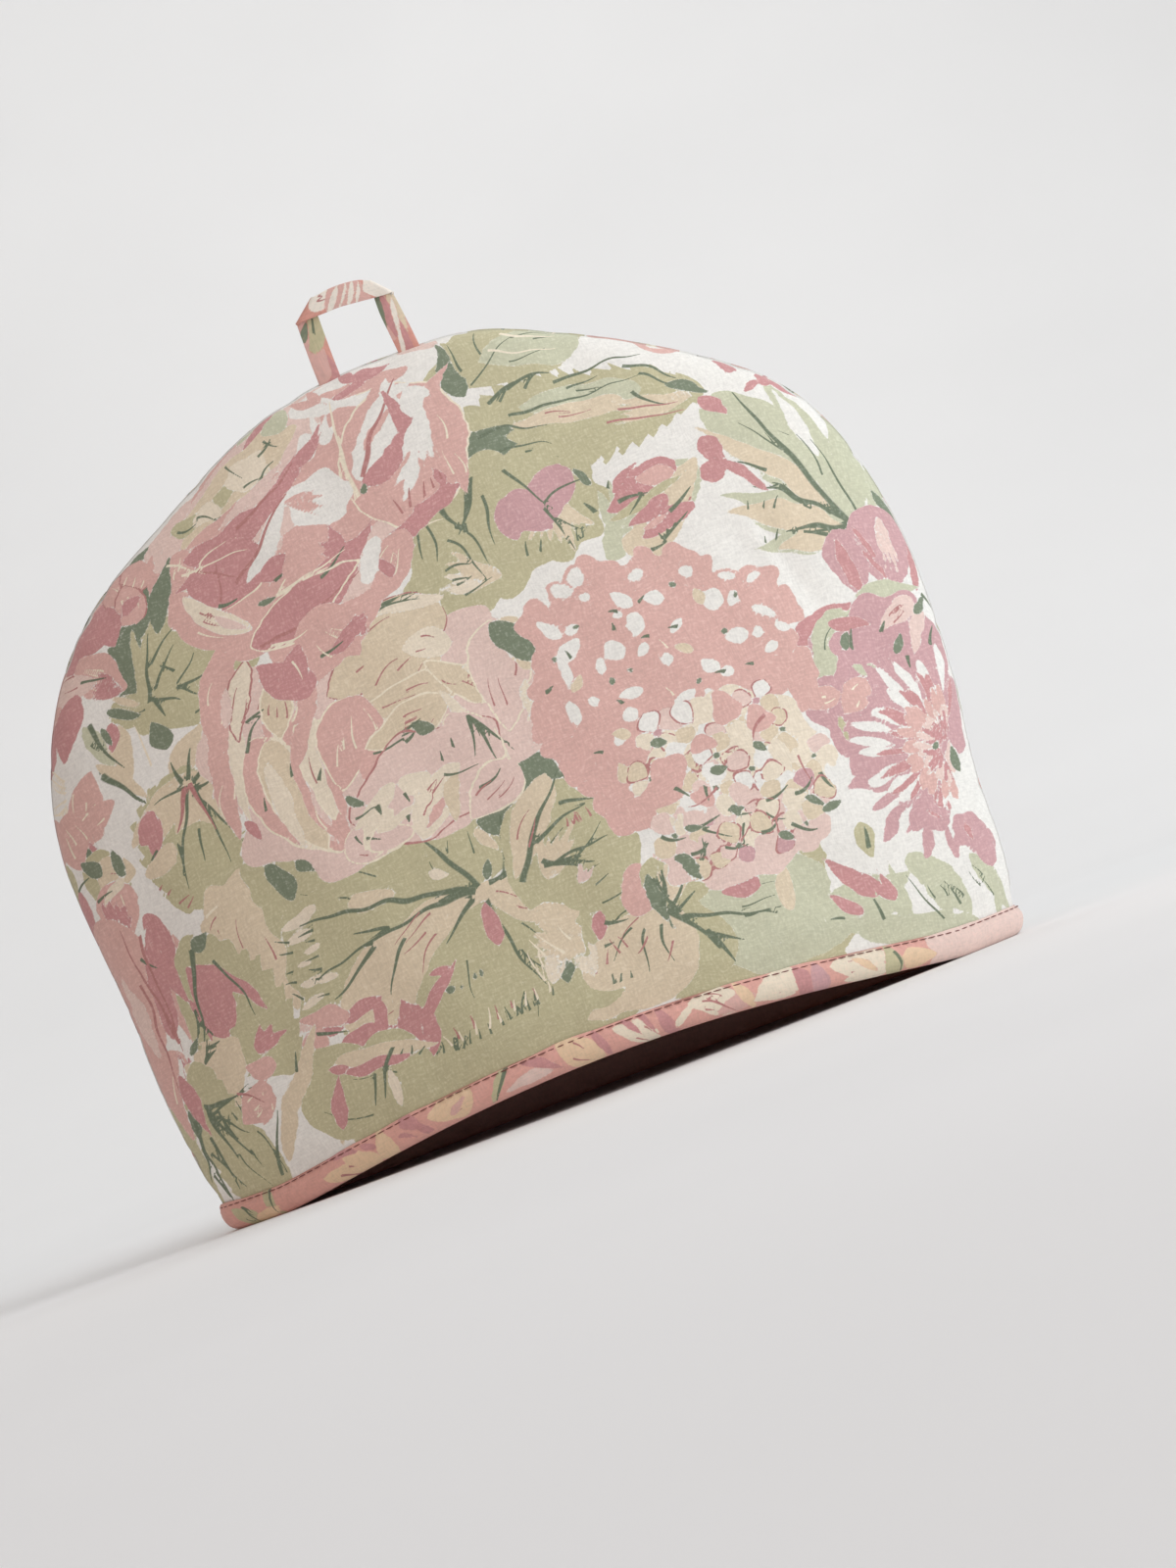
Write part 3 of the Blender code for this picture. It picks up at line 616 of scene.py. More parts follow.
BROAD_LEAVES = (
    # the scalloped leaves along the hem, with their dark gaps, tan bands and fringes
    ("blob", "sage", (-70, 13, 6, 60, 18, 3), (-24, 14, 4, 80, 20, 4), (56, 17, -6, 76, 26, 5)),
    ("petal", "tan", (-100, 10, 84, 34, 10, 0.1), (-98, 62, 92, 52, 30)),
    ("blob", "sage", (-84, 104, 150, 36, 22, 5), (-22, 24, 4, 96, 30, 7)),
    ("blob", "tan", (16, 22, 4, 46, 22, 5)),
    ("fan", "sage", (24, 16, 120, 30, 6, 80)),
    ("petal", "sage", (-30, 70, 155, 74, 44, -0.06), (-24, 74, 112, 44, 44), (-24, 74, 76, 34, 34, 0.1)),
    ("blob", "bottle", (-87, 105, 118, 15, 8, 3), (-73, 109, 20, 14, 11, 3)),
    ("petal", "tan", (-66, 100, 60, 14, 8)),
    ("blob", "bottle", (2, 102, 30, 34, 30, 3)),
    ("blade", "bottle", (-8, 72, 76, 30, 9)),
    ("toothed", "sage", (-30, 70, 190, 70, 40)),
    ("petal", "sage", (-30, 70, 212, 66, 30)),
    ("blob", "sage", (-82, 78, 84, 38, 30, 5)),
    ("petal", "tan", (-22, 72, 206, 66, 34, -0.06), (-24, 74, 224, 56, 28), (-30, 76, 196, 36, 12, 0.1)),
    ("petal", "sage", (-24, 70, 262, 60, 66), (-22, 70, 300, 58, 34)),
    ("petal", "tan", (-26, 75, -28, 38, 18, -0.1)),
    ("fan", "tan", (6, 40, 150, 26, 4, 70)),
    ("blob", "cream", (-86, 90, 8, 15, 4.4, 3), (-89, 84.5, 4, 10, 3.4, 3), (-86, 79, 0, 7, 2.4),
        (-90, 75, 0, 5, 2), (-90, 68.5, 2, 8, 2.2), (-84, 67, -6, 7, 2.4), (-92, 62.5, 4, 9, 3, 3)),
    ("blob", "tan", (-60, 86, -14, 16, 7, 3)),
    ("blade", "cream", (-38, 87, -30, 8, 4)),
    ("blade", "tan", (-18, 96, -70, 14, 4, 0.1)),
    ("ticks", "line_green", (-95, 64, 84, 26, 6, 5), (-86, 62, 84, 28, 6, 6)),
    ("line", "line_green", (-26, 74, 160, 62, 2.2, 0.12), (-24, 75, 112, 28, 2.2, 0.1),
        (-26, 74, 178, 62, 1.8, 0.12), (-58, 74, 156, 12, 1.4, 0.1), (-64, 70, 214, 24, 1.8, -0.12),
        (-27, 72, 220, 18, 1.8), (-54, 68, 228, 20, 1.4, 0.1), (-23, 70, -84, 38, 1.6, 0.14),
        (-13, 74, 78, 22, 3.2, -0.05), (-20, 75, -6, 8, 2, 0.3)),
    ("petal", "rose_deep", (-24, 70, 270, 18, 6)),
    ("blade", "bottle", (-20, 76, 70, 7, 3.5)),
    ("ticks", "line_green", (-66, 25, -10, 22, 7, 6), (-50, 22, 6, 42, 6, 9)),
    ("ticks", "line_cream", (-52, 24, 6, 44, 6, 9)),
    ("ticks", "line_rose", (-48, 26, 6, 36, 5, 5)),
    ("blob", "bottle", (-45, 43.5, 0, 3.6, 2.6), (-41, 43, 0, 1.4, 1.8), (-36, 45, 0, 1.6, 3),
        (-33.5, 45, 0, 1.6, 3)),
    ("blade", "bottle", (-4, 38, -100, 9, 6)),
    ("ticks", "line_cream", (-14, 32, 40, 22, 12, 5)),
    ("blade", "rose_deep", (-60, 24, 98, 24, 16)),
    ("fan", "rose_deep", (-61, 31, 88, 18, 5, 64)),
    ("blade", "rose_deep", (-58, 36, 50, 24, 6, -0.1), (-51, 53, -12, 9, 3, 0.1),
        (-89, 43, -12, 22, 8, 0.1), (-85, 50, 10, 18, 6), (-71, 53, -104, 16, 5, 0.1),
        (-94, 50, -14, 10, 3)),
    ("blob", "rose", (-97, 46, 40, 13, 12, 3)),
    ("fan", "rose_pale", (-102, 54, 12, 16, 3, 30)),
    ("petal", "rose", (-100, 58, -20, 20, 7)),
    ("line", "line_green", (-95, 50, -14, 12, 1.2, -0.1)),
    ("petal", "sage", (-64, 16, 164, 50, 34, -0.12), (-60, 18, 130, 30, 18, 0.1)),
    ("petal", "tan", (-56, 28, 160, 40, 7, 0.1)),
    ("blade", "rose_deep", (-96, 38, -34, 12, 4, 0.1), (-91, 33, -8, 28, 5, -0.06),
        (-98, 16, 74, 18, 6)),
    ("line", "line_green", (-72, 34, -128, 18, 1.6, 0.15), (-80, 28, -120, 12, 1.3, 0.1)),
    ("ticks", "line_green", (-70, 30, -30, 10, 4, 3)),
    ("blade", "cream", (-76, 14, 84, 14, 4)),
    # the leaf between them and the great bloom
    ("petal", "sage", (-10, 60, 58, 48, 34, -0.1), (-6, 62, 26, 42, 40, 0.1), (2, 58, 6, 30, 26, 0.1)),
    ("petal", "tan", (-10, 72, 62, 38, 13, -0.1)),
    ("fan", "tan", (0, 68, 60, 24, 4, 50)),
    ("line", "line_green", (-8, 70, 66, 40, 2.2, -0.22), (0, 82, 32, 22, 1.2, -0.2),
        (0, 74, -12, 18, 2, -0.1), (2, 73, 8, 22, 1.4), (0, 76, -44, 14, 2.2, 0.2),
        (12, 92, 10, 12, 1.5, -0.3), (24, 96, -50, 8, 1.2)),
    ("ticks", "line_rose", (12, 84, 0, 12, 5, 4)),
    ("fan", "rose_pale", (9, 62, 50, 10, 2, 40)),
    # the hem leaf at the right
    ("petal", "sage", (36, 44, -6, 56, 46, 0.14), (34, 46, 20, 54, 30, -0.12)),
    ("blob", "sage_light", (66, 24, -6, 52, 28, 5)),
    ("petal", "sage_light", (42, 38, -8, 50, 32, 0.1)),
    ("petal", "sage", (30, 52, -76, 42, 34)),
    ("petal", "tan", (36, 48, -118, 38, 30)),
    ("petal", "sage", (32, 48, 196, 30, 18, 0.1)),
    ("petal", "tan", (34, 46, 214, 38, 20)),
    ("blob", "rose", (28, 53, 70, 20, 12)),
    ("petal", "sage", (33, 42, 72, 22, 16, -0.1)),
    ("fan", "tan", (36, 44, 62, 17, 3, 50)),
    ("blob", "tan", (76, 38, 70, 16, 7, 3)),
    ("petal", "rose_deep", (55, 42, 12, 13, 8), (60, 47, -34, 9, 7)),
    ("blade", "bottle", (33, 57, -108, 20, 5, 0.4)),
    ("line", "line_green", (34, 42, -48, 22, 2.4, -0.12), (34, 55, -82, 14, 1.4, 0.1),
        (44, 31, -56, 16, 1.8, -0.15), (38, 38, -8, 32, 1.8, -0.1), (44, 30, -26, 14, 1.6),
        (33, 44, 62, 14, 2, 0.1), (35, 42, 40, 14, 1.8, 0.1), (36, 40, 24, 12, 1.6, 0.1),
        (31, 38, -100, 14, 1, 0.2), (26, 38, -118, 16, 1, 0.2), (22, 40, -150, 14, 1, 0.2)),
    ("blade", "rose_deep", (9, 41, 66, 11, 5)),
    ("ticks", "line_rose", (4, 28, 20, 20, 8, 4)),
    ("ticks", "line_green", (8, 22, 6, 10, 4, 3)),
    ("fan", "cream", (-12, 30, 60, 15, 1.5, 46), (4, 27, 100, 15, 1.5, 40)),
    ("ticks", "line_green", (-30, 24, 8, 18, 8, 3)),
    ("line", "line_green", (13, 46, -30, 8, 1.5, 0.3), (9, 38, -10, 5, 1.5)),
)

RIGHT_FOOT = (
    # the loose petals and small leaves at the foot of the right side
    ("blade", "sage_light", (84, 20, 18, 40, 18)),
    ("blob", "sage_light", (116, 12, -12, 54, 12, 4)),
    ("fan", "sage_light", (112, 17, 104, 22, 5, 40)),
    ("petal", "sage_light", (134, 12, 118, 32, 12, 0.08), (127, 13, 100, 18, 8, 0.1),
        (146, 8, 114, 28, 8, 0.05)),
    ("blade", "sage_light", (142, 8, 78, 16, 4)),
    ("line", "line_green", (104, 18, 108, 14, 1.2, -0.2), (124, 13, 122, 20, 1, -0.14),
        (131, 17, 112, 10, 0.9, 0.1), (92, 22, 160, 6, 1.3, 0.2)),
    ("petal", "sage", (109, 40, 96, 14, 7)),
    ("line", "line_green", (109, 44, 84, 8, 2, 0.1)),
    ("blade", "rose_deep", (104, 27, 124, 22, 6.5, 0.08), (99, 22, 136, 13, 5),
        (110, 24, 124, 15, 5, 0.05), (111, 25, 104, 11, 4)),
)

BUDS = (
    # the rosebud, and the feathered sprig with red buds
    ("petal", "sage_light", (58, 170, 38, 46, 24, -0.1)),
    ("petal", "tan", (98, 192, 214, 42, 20, 0.1)),
    ("fan", "sage_light", (66, 176, 74, 26, 5, 50)),
    ("petal", "rose_deep", (64, 187, 16, 29, 13, 0.06)),
    ("fan", "rose_deep", (68, 192, 24, 22, 3.4, 24)),
    ("petal", "rose", (78, 194, -14, 12, 8)),
    ("blade", "sage", (64, 184, 4, 30, 5, 0.16)),
    ("petal", "rose_deep", (69, 179, 14, 18, 6, 0.1), (72, 173, 24, 22, 8, -0.1)),
    ("fan", "rose_deep", (76, 176, 34, 14, 2.6, 30)),
    ("blade", "rose", (74, 176, 20, 12, 2.6)),
    ("line", "line_green", (68, 189, 12, 12, 1.5, -0.3), (78, 189, 216, 10, 1.3, 0.1),
        (84, 179, 30, 12, 1.6), (78, 170, 20, 14, 1.5, 0.2)),
    ("ticks", "line_green", (78, 171, 10, 9, 3, 3)),
    ("line", "line_green", (72, 169, 0, 7, 1.5), (67, 194, 60, 4, 1.3)),
    ("fan", "sage_light", (141, 150, 150, 52, 10, 60)),
    ("fan", "tan", (140, 151, 172, 44, 9, 22)),
    ("blade", "tan", (140, 150, 152, 46, 11, 0.08)),
    ("petal", "sage_light", (141, 150, 116, 70, 24, 0.05)),
    ("blade", "sage_light", (141, 152, 96, 62, 14, 0.1), (144, 154, 76, 46, 12, 0.15),
        (148, 150, 60, 40, 8, 0.2)),
    ("blade", "tan", (138, 156, 132, 60, 8, -0.05)),
    ("blade", None, (136, 176, 100, 30, 6)),
    ("line", "line_green", (140, 152, 124, 60, 2.6, -0.22), (141, 152, 142, 38, 1.6, 0.06),
        (140, 151, 168, 24, 2.4, 0.05), (138, 150, 176, 16, 2, -0.1), (134, 158, 140, 22, 1.8),
        (118, 178, 136, 12, 1.4, 0.1), (144, 154, 100, 30, 1.2, 0.1), (136, 170, 98, 16, 1, 0.1)),
    ("ticks", "line_green", (108, 168, -20, 14, 5, 3), (110, 156, -8, 16, 5, 3)),
    ("blade", "bottle", (156, 146, 124, 16, 5)),
    ("blob", "rose_deep", (118, 218, 90, 9, 6.5, 3)),
    ("fan", "rose_deep", (118, 219, -92, 9, 2.4, 40)),
    ("petal", "rose_deep", (113, 201, 116, 14, 6, 0.1)),
    ("blob", "rose_deep", (128, 207, 60, 8, 6, 3)),
    ("blade", "rose_deep", (126, 207, 200, 7, 3), (129, 207, -62, 13, 4.4, 0.1)),
    ("petal", "rose_deep", (106, 186, 104, 13, 8)),
    ("blob", "rose_deep", (102, 186, 20, 10, 8, 3)),
    ("blade", "rose_deep", (104, 190, -54, 23, 4.4, -0.05)),
    ("blade", "rose", (78, 252, -32, 28, 8, 0.05)),
    ("petal", "rose", (92, 240, -32, 18, 11)),
    ("blade", None, (96, 237, -30, 9, 4)),
)

CHRYSANTHEMUM = (
    # the many-petalled bloom at the right edge, under its half open neighbour
    ("petal", "mauve", (146, 126, 82, 32, 26), (137, 127, 100, 26, 14)),
    ("blade", "rose_deep", (136, 129, 100, 22, 5), (144, 140, 112, 12, 3), (146, 130, 118, 18, 2.2),
        (154, 122, 78, 24, 4)),
    ("fan", "rose_pale", (150, 152, -95, 22, 2.4, 24)),
    ("blade", "rose_deep", (107, 117, 44, 32, 10, -0.42)),
    ("petal", "mauve", (108, 110, 30, 22, 14)),
    ("petal", "sage_light", (112, 101, 66, 32, 15, -0.16), (118, 116, 22, 22, 9, 0.1)),
    ("blade", "sage_light", (131, 126, 14, 30, 9, -0.2)),
    ("blob", "mauve", (116, 96, 20, 24, 20, 5), (139, 108, 20, 46, 38, 7), (124, 94, 80, 34, 26, 5)),
    ("petal", "mauve", (132, 86, 178, 26, 22, 0.1), (134, 76, 196, 26, 18)),
    ("blob", "mauve", (144, 86, 90, 44, 36, 7), (134, 62, 30, 30, 18, 5)),
    ("petal", "rose_deep", (136, 118, 158, 16, 6, 0.1)),
    ("petal", "rose_pale", (138, 116, 24, 18, 8), (146, 104, 62, 18, 6)),
    ("petal", "rose", (104, 100, 0, 14, 9), (116, 92, 40, 16, 10)),
    ("petal", "sage_light", (124, 108, -34, 11, 5, 0.2)),
    ("blade", "sage", (114, 92, -96, 10, 3)),
)

RAYS_AT = (147, 70)
RAYS_FROM, RAYS_TO, RAY_PITCH, RAY_STAGGER = 74, 256, 11.5, 5  # degrees from the right
RAY_FORM = (0.06, 0.6, 0.7)  # its bend, where it is widest, and how blunt its ends are


def chrysanthemum(cloth):
    """Narrow petals in rings about a dark heart, with bare cloth between them."""
    paint(cloth, CHRYSANTHEMUM)
    for ring, (near, long, wide, ink) in enumerate(CHRYSANTHEMUM_RINGS):
        for turn in np.arange(RAYS_FROM + RAY_STAGGER * (ring % 2), RAYS_TO, RAY_PITCH):
            angle = turn + cloth.chance.uniform(-3, 3)
            away = near * cloth.chance.uniform(0.85, 1.15)
            x = RAYS_AT[0] + away * math.cos(math.radians(angle))
            z = RAYS_AT[1] + away * math.sin(math.radians(angle))
            lean = angle + cloth.chance.uniform(-9, 9)
            grown = long * cloth.chance.uniform(0.75, 1.15)
            cloth.blade(ink, (x, z), lean, grown, wide, *RAY_FORM)
    paint(cloth, CHRYSANTHEMUM_HEART)


CHRYSANTHEMUM_RINGS = (  # how far out they start, length, width and ink
    (22, 20, 4.6, "mauve"),
    (17, 17, 4.0, None),
    (8, 22, 2.4, "rose_deep"),
    (8, 12, 3.4, "rose"),
    (5, 9, 2.2, "rose_pale"),
    (3, 9, 1.8, "rose_deep"),
)
CHRYSANTHEMUM_HEART = (
    ("blob", "rose_pale", (147, 66, 90, 12, 6, 5)),
    ("blade", "bottle", (148, 60, 98, 12, 4.5)),
    ("blob", "bottle", (142, 72, 0, 3, 2.6)),
    ("blade", "bottle", (124, 112, 62, 8, 4.2), (150, 117, 20, 9, 2.6, 0.2), (141, 105, 62, 8, 3.5)),
    ("line", "line_green", (127, 112, 74, 8, 1.6), (138, 115, 50, 5, 1.6), (152, 104, 62, 9, 1.8),
        (144, 104, -94, 4, 1.4), (155, 121, -40, 6, 1.6)),
    ("petal", "mauve", (136, 56, 206, 16, 9, 0.2)),
    ("blob", "mauve", (133, 48, 0, 12, 10, 5)),
    ("petal", "mauve", (140, 46, -60, 20, 12, 0.1)),
    ("blob", "mauve", (143, 40, 0, 14, 14, 5)),
    ("petal", "mauve", (145, 42, -84, 18, 9)),
    ("petal", None, (140, 54, -56, 9, 4)),
    ("blade", "rose_deep", (131, 52, -40, 9, 2), (142, 44, -80, 9, 2)),
)

LEFT_BLOOMS = (
    # buds, the half seen blooms and the narrow leaves down the left side
    ("petal", "rose_deep", (-126, 204, 42, 26, 14)),
    ("petal", "rose", (-100, 218, 136, 18, 16, 0, "line_rose"), (-104, 220, 60, 16, 14, 0, "line_rose"),
        (-104, 226, -86, 18, 14, 0, "line_rose")),
    ("blob", "rose_deep", (-104, 218, 20, 9, 6, 3)),
    ("petal", "rose_deep", (-114, 204, 90, 18, 10)),
    ("petal", "rose", (-114, 190, 140, 24, 18)),
    ("petal", "rose_pale", (-124, 196, 170, 20, 12)),
    ("fan", "rose_deep", (-116, 190, 150, 18, 3, 50)),
    ("line", "line_green", (-130, 197, -10, 12, 1.3, -0.1)),
    ("petal", "rose_deep", (-144, 172, 66, 24, 11, -0.1)),
    ("petal", "sage_light", (-134, 182, -70, 22, 9, 0.2)),
    ("blade", "tan", (-124, 180, -88, 22, 10)),
    ("petal", "rose_deep", (-127, 170, 76, 11, 6, 0.1)),
    ("line", "line_green", (-132, 182, -80, 22, 1.8, 0.2)),
    ("blade", "bottle", (-129, 180, -68, 9, 2.6)),
    ("line", "line_green", (-133, 166, -62, 22, 2.4, 0.12)),
    ("blade", "tan", (-134, 168, -50, 26, 5)),
    ("line", "line_green", (-133, 164, -56, 20, 2.2, 0.1)),
    ("petal", "rose", (-136, 166, 236, 22, 16, 0.1), (-132, 154, 200, 20, 12)),
    ("ticks", "line_cream", (-149, 153, 76, 17, 12, 7)),
    ("line", "line_cream", (-116, 160, 84, 18, 1, 0.2)),
    ("petal", "rose", (-146, 134, 112, 24, 16)),
    ("blade", "rose_deep", (-144, 133, 100, 12, 5)),
    ("blade", "bottle", (-147, 134, 80, 9, 4, 0.1)),
    ("petal", "sage", (-140, 116, 108, 26, 18)),
    ("petal", "tan", (-134, 128, 160, 16, 14)),
    ("blade", "bottle", (-138, 128, 96, 11, 3, 0.1)),
    ("petal", "rose", (-146, 108, 80, 20, 18)),
    ("fan", "rose_deep", (-148, 110, 60, 15, 3.6, 70)),
    ("petal", "cream", (-148, 122, 20, 12, 4)),
    ("line", "line_green", (-150, 124, 10, 8, 1.2, -0.2)),
    ("blob", "tan", (-124, 128, 20, 16, 8, 3)),
    ("petal", "rose", (-150, 64, 92, 54, 30), (-138, 66, 84, 44, 18)),
    ("petal", "rose_deep", (-134, 90, 92, 24, 10, 0.1)),
    ("blade", "rose_deep", (-144, 70, 84, 40, 9, -0.1)),
    ("blade", "rose_pale", (-150, 66, 96, 34, 7)),
    ("blade", None, (-138, 70, 78, 14, 4)),
    ("petal", "rose", (-148, 34, 82, 34, 16)),
    ("fan", "rose_deep", (-142, 46, 84, 22, 4, 30)),
    ("blade", None, (-146, 42, 80, 22, 4)),
    ("toothed", "sage", (-128, 100, -74, 62, 42, 0.1)),
    ("petal", "sage", (-136, 60, 60, 34, 26)),
    ("blade", "bottle", (-126, 96, 20, 10, 4)),
    ("petal", "rose_deep", (-130, 92, -70, 28, 13), (-134, 82, -66, 26, 9)),
    ("blade", "rose_deep", (-127, 92, -44, 34, 6, -0.14)),
    ("line", "line_green", (-126, 96, -108, 36, 2), (-120, 90, -66, 24, 1.2, -0.1),
        (-134, 72, -50, 22, 1, -0.1), (-133, 78, -112, 18, 1.2)),
    ("fan", "rose_deep", (-116, 54, 40, 14, 4, 60)),
    ("toothed", "tan", (-146, 42, 24, 36, 30, 0.1)),
    ("petal", "rose", (-124, 30, 60, 16, 11), (-122, 52, -30, 12, 8)),
    ("toothed", "sage", (-140, 60, -88, 58, 26)),
    ("petal", "sage", (-142, 46, -60, 48, 20, -0.1)),
    ("blade", "bottle", (-146, 34, 70, 18, 6)),
    ("line", "line_green", (-140, 44, -84, 24, 1.8, 0.1), (-140, 44, -70, 28, 1.4, 0.1),
        (-141, 44, -8, 24, 1.3, 0.1), (-140, 42, -44, 18, 1.2), (-146, 32, -88, 26, 1.3, 0.1),
        (-144, 28, -64, 18, 1.2), (-136, 58, 20, 8, 1.6), (-134, 62, 0, 8, 1.4, 0.2)),
    ("blade", "tan", (-120, 14, 66, 34, 7, -0.1)),
    ("line", "line_green", (-124, 12, 78, 22, 1.6, -0.2)),
    ("blade", "tan", (-114, 28, 48, 34, 7)),
    ("line", "line_green", (-107, 42, 66, 8, 1.4)),
    ("line", "line_rose", (-143, 68, 98, 44, 1.4, -0.06), (-142, 108, -96, 44, 1.2, 0.04),
        (-148, 92, -92, 40, 1.2)),
    ("blade", "rose_deep", (-140, 104, -80, 26, 8, 0.1), (-146, 58, -84, 26, 6, 0.1)),
    ("line", "line_green", (-144, 101, -60, 8, 1.3, 0.1), (-155, 129, 10, 9, 1.2)),
    ("blade", "bottle", (-145, 131, 120, 11, 6, 0.1), (-139, 128, 92, 13, 4)),
    ("line", "line_green", (-134, 30, 100, 14, 1.3, 0.1), (-145, 40, -100, 24, 2.2, -0.1),
        (-142, 34, -86, 22, 1.6), (-150, 26, -84, 22, 1.2), (-146, 20, -70, 12, 1.2)),
    ("blade", "bottle", (-141, 62, 30, 9, 3, 0.2)),
    ("line", "line_green", (-136, 58, 40, 8, 1.3, 0.3), (-140, 41, 4, 22, 1.2, 0.12)),
    ("ticks", "line_green", (-134, 34, 30, 12, 4, 4)),
    ("petal", "rose", (-130, 34, 20, 14, 12)),
    ("line", "line_rose", (-128, 44, -20, 12, 1.2, -0.3)),
)

HEAD_AT, HEAD_HALF = (60, 124), (42, 40)
PALE_AT, PALE_HALF = (74, 80), 33
GAP_ROWS, GAPS_FROM, GAP_PITCH = 8, (20, 84), 11.5
PALE_HEIGHT, PALE_LEFT = 104, 46  # the pale part lies below and to the right
PALE_ROWS, PALE_COLUMNS, FLORET_PITCH = 5, 6, 12.5
SHADED_HEIGHT = 72
PALE_FROM, ROW_SHARE = 40, 0.92
PETAL_FOOT = 1.2
FLORET_DEPTH = 0.16
FLORET_FORM = (0.0, 0.6, 0.5)  # its petals' bend, where they are widest, and how blunt
GAP_FORM = (0.1, 0.55, 0.55)  # the same for a gap
OUTLINED_SHARE = 0.35
LOOP_LINE = 1.3


def hydrangea(cloth):
    """The round head of four-petalled florets: pink above, cream and shell pink below,
    where bare cloth, tan and dark leaf show in the gaps between the florets."""
    for part in PINK_PARTS:
        cloth.blob("rose", *part)
    for x, z, size in FLORETS:
        cloth.blob("rose", (x, z), 10 * z, size, size, 4, FLORET_DEPTH, x)
    for x, z, long, wide, angle in LOOPED_PETALS:
        cloth.blob("rose", (x, z), angle, long + 2 * LOOP_LINE, wide + 2 * LOOP_LINE)
        cloth.blob(None, (x, z), angle, long, wide)
    for x, z, long, wide, angle in BARE_GAPS:
        cloth.blade(None, (x, z), angle, long, wide, *GAP_FORM)
    for row in range(GAP_ROWS):
        for step in range(GAP_ROWS):
            x = GAPS_FROM[0] + (step + 0.5 * (row % 2)) * GAP_PITCH + cloth.chance.uniform(-3, 3)
            z = GAPS_FROM[1] + row * GAP_PITCH + cloth.chance.uniform(-3, 3)
            pick, angle = cloth.chance.uniform(), cloth.chance.uniform(0, 180)
            outside = math.hypot((x - HEAD_AT[0]) / HEAD_HALF[0], (z - HEAD_AT[1]) / HEAD_HALF[1]) > 1
            if not outside and not (z < PALE_HEIGHT and x > PALE_LEFT):
                mark(cloth, GAP_MARKS, pick, (x, z), angle)
    pale_florets(cloth)
    for x, z, size in PINK_AMONG_PALE:
        cloth.blob("rose", (x, z), 8 * x, 1.2 * size, size, 3, FLORET_DEPTH, x)
    paint(cloth, HYDRANGEA_MARKS)


def mark(cloth, marks, pick, at, angle):
    """Prints the first mark of a list whose share reaches the pick, if one does."""
    for share, draw, ink, *form in marks:
        if pick < share:
            draw(cloth, ink, at, angle, *form)
            return


def pale_florets(cloth):
    """The shaded half of the head: whole florets, each of four round petals."""
    for ink, *part in PALE_PARTS:
        cloth.blob(ink, *part)
    for row in range(PALE_ROWS):
        for step in range(PALE_COLUMNS):
            x = PALE_FROM + (step + 0.5 * (row % 2)) * FLORET_PITCH + cloth.chance.uniform(-2, 2)
            z = PALE_HEIGHT - row * ROW_SHARE * FLORET_PITCH + cloth.chance.uniform(-2, 2)
            pick, turned = cloth.chance.uniform(), cloth.chance.uniform(0, 90)
            if math.hypot((x - PALE_AT[0]) / PALE_HALF, (z - PALE_AT[1]) / PALE_HALF) > 1:
                continue
            inks = PALE_FLORETS if z > SHADED_HEIGHT else SHADED_FLORETS
            for petal in range(4):
                turn = turned + 90 * petal + cloth.chance.uniform(-12, 12)
                ink = inks[int(len(inks) * cloth.chance.uniform())]
                rim = "line_rose" if cloth.chance.uniform() < OUTLINED_SHARE else None
                foot_x = x + PETAL_FOOT * math.cos(math.radians(turn))
                foot_z = z + PETAL_FOOT * math.sin(math.radians(turn))
                size = cloth.chance.uniform(6.5, 8.5)
                cloth.blade(ink, (foot_x, foot_z), turn, size, size, *FLORET_FORM, rim=rim)
            mark(cloth, EYES, pick, (x, z), 0)
            if z < SHADED_HEIGHT:
                cloth.stroke("line_green", (x - 5, z + 1), -60 + 60 * pick, 8, 1.5, 0.5)


PINK_PARTS = (  # place, angle, length, width, lobes and their depth
    ((61, 124), 80, 86, 86, 15, 0.04),
    ((40, 118), 90, 70, 46, 11, 0.06),
    ((44, 88), 20, 40, 30, 7, 0.06),
)
PALE_PARTS = (("cream", (76, 84), 0, 62, 56, 9, 0.06), ("rose_pale", (70, 62), 8, 62, 34, 9, 0.08))
GAP_MARKS = (  # the share of the gaps that have this or one above it, kind, ink and form
    (0.2, Cloth.blade, "tan", 7, 4, 0.1, 0.4, 0.8),
    (0.45, Cloth.blob, "bottle", 2.6, 1.8),
    (0.8, Cloth.stroke, "line_green", 3.6, 1.5, 0.3),
    (0.9, Cloth.stroke, "line_cream", 4, 0.9, 0.4),
)
EYES = ((0.55, Cloth.blob, "bottle", 2.2, 1.8), (0.8, Cloth.blob, "mauve", 3, 2.4))
PINK_AMONG_PALE = (  # x, z and size
    (52, 90, 13), (60, 78, 7), (88, 99, 8), (47, 84, 12), (66, 96, 7), (78, 106, 10),
)
PALE_FLORETS = ("cream", None, "cream", "rose_pale", "tan", None)
SHADED_FLORETS = ("rose_pale", "rose_pale", "tan", "rose_pale", "cream", "mauve")
FLORETS = (  # x, z and size of those that stand out round the rim
    (28, 156, 16), (40, 160, 14), (52, 166, 16), (57, 160, 14), (70, 163, 14), (80, 160, 15),
    (86, 154, 13), (92, 146, 14), (104, 143, 15), (108, 133, 14), (103, 122, 13), (106, 112, 14),
    (106, 102, 12), (22, 112, 15), (20, 122, 14), (24, 134, 14), (34, 88, 14), (32, 98, 14),
    (24, 102, 12), (40, 78, 13),
)
LOOPED_PETALS = (  # x, z, length, width, angle
    (39, 165, 8, 5, 150), (46, 168, 7, 5.5, 60), (45, 160, 4, 3, 0), (65, 162, 5, 4, 20),
    (103, 146, 5, 3, 20), (102, 134, 8, 3, -30), (95, 150, 6, 3, 160),
)
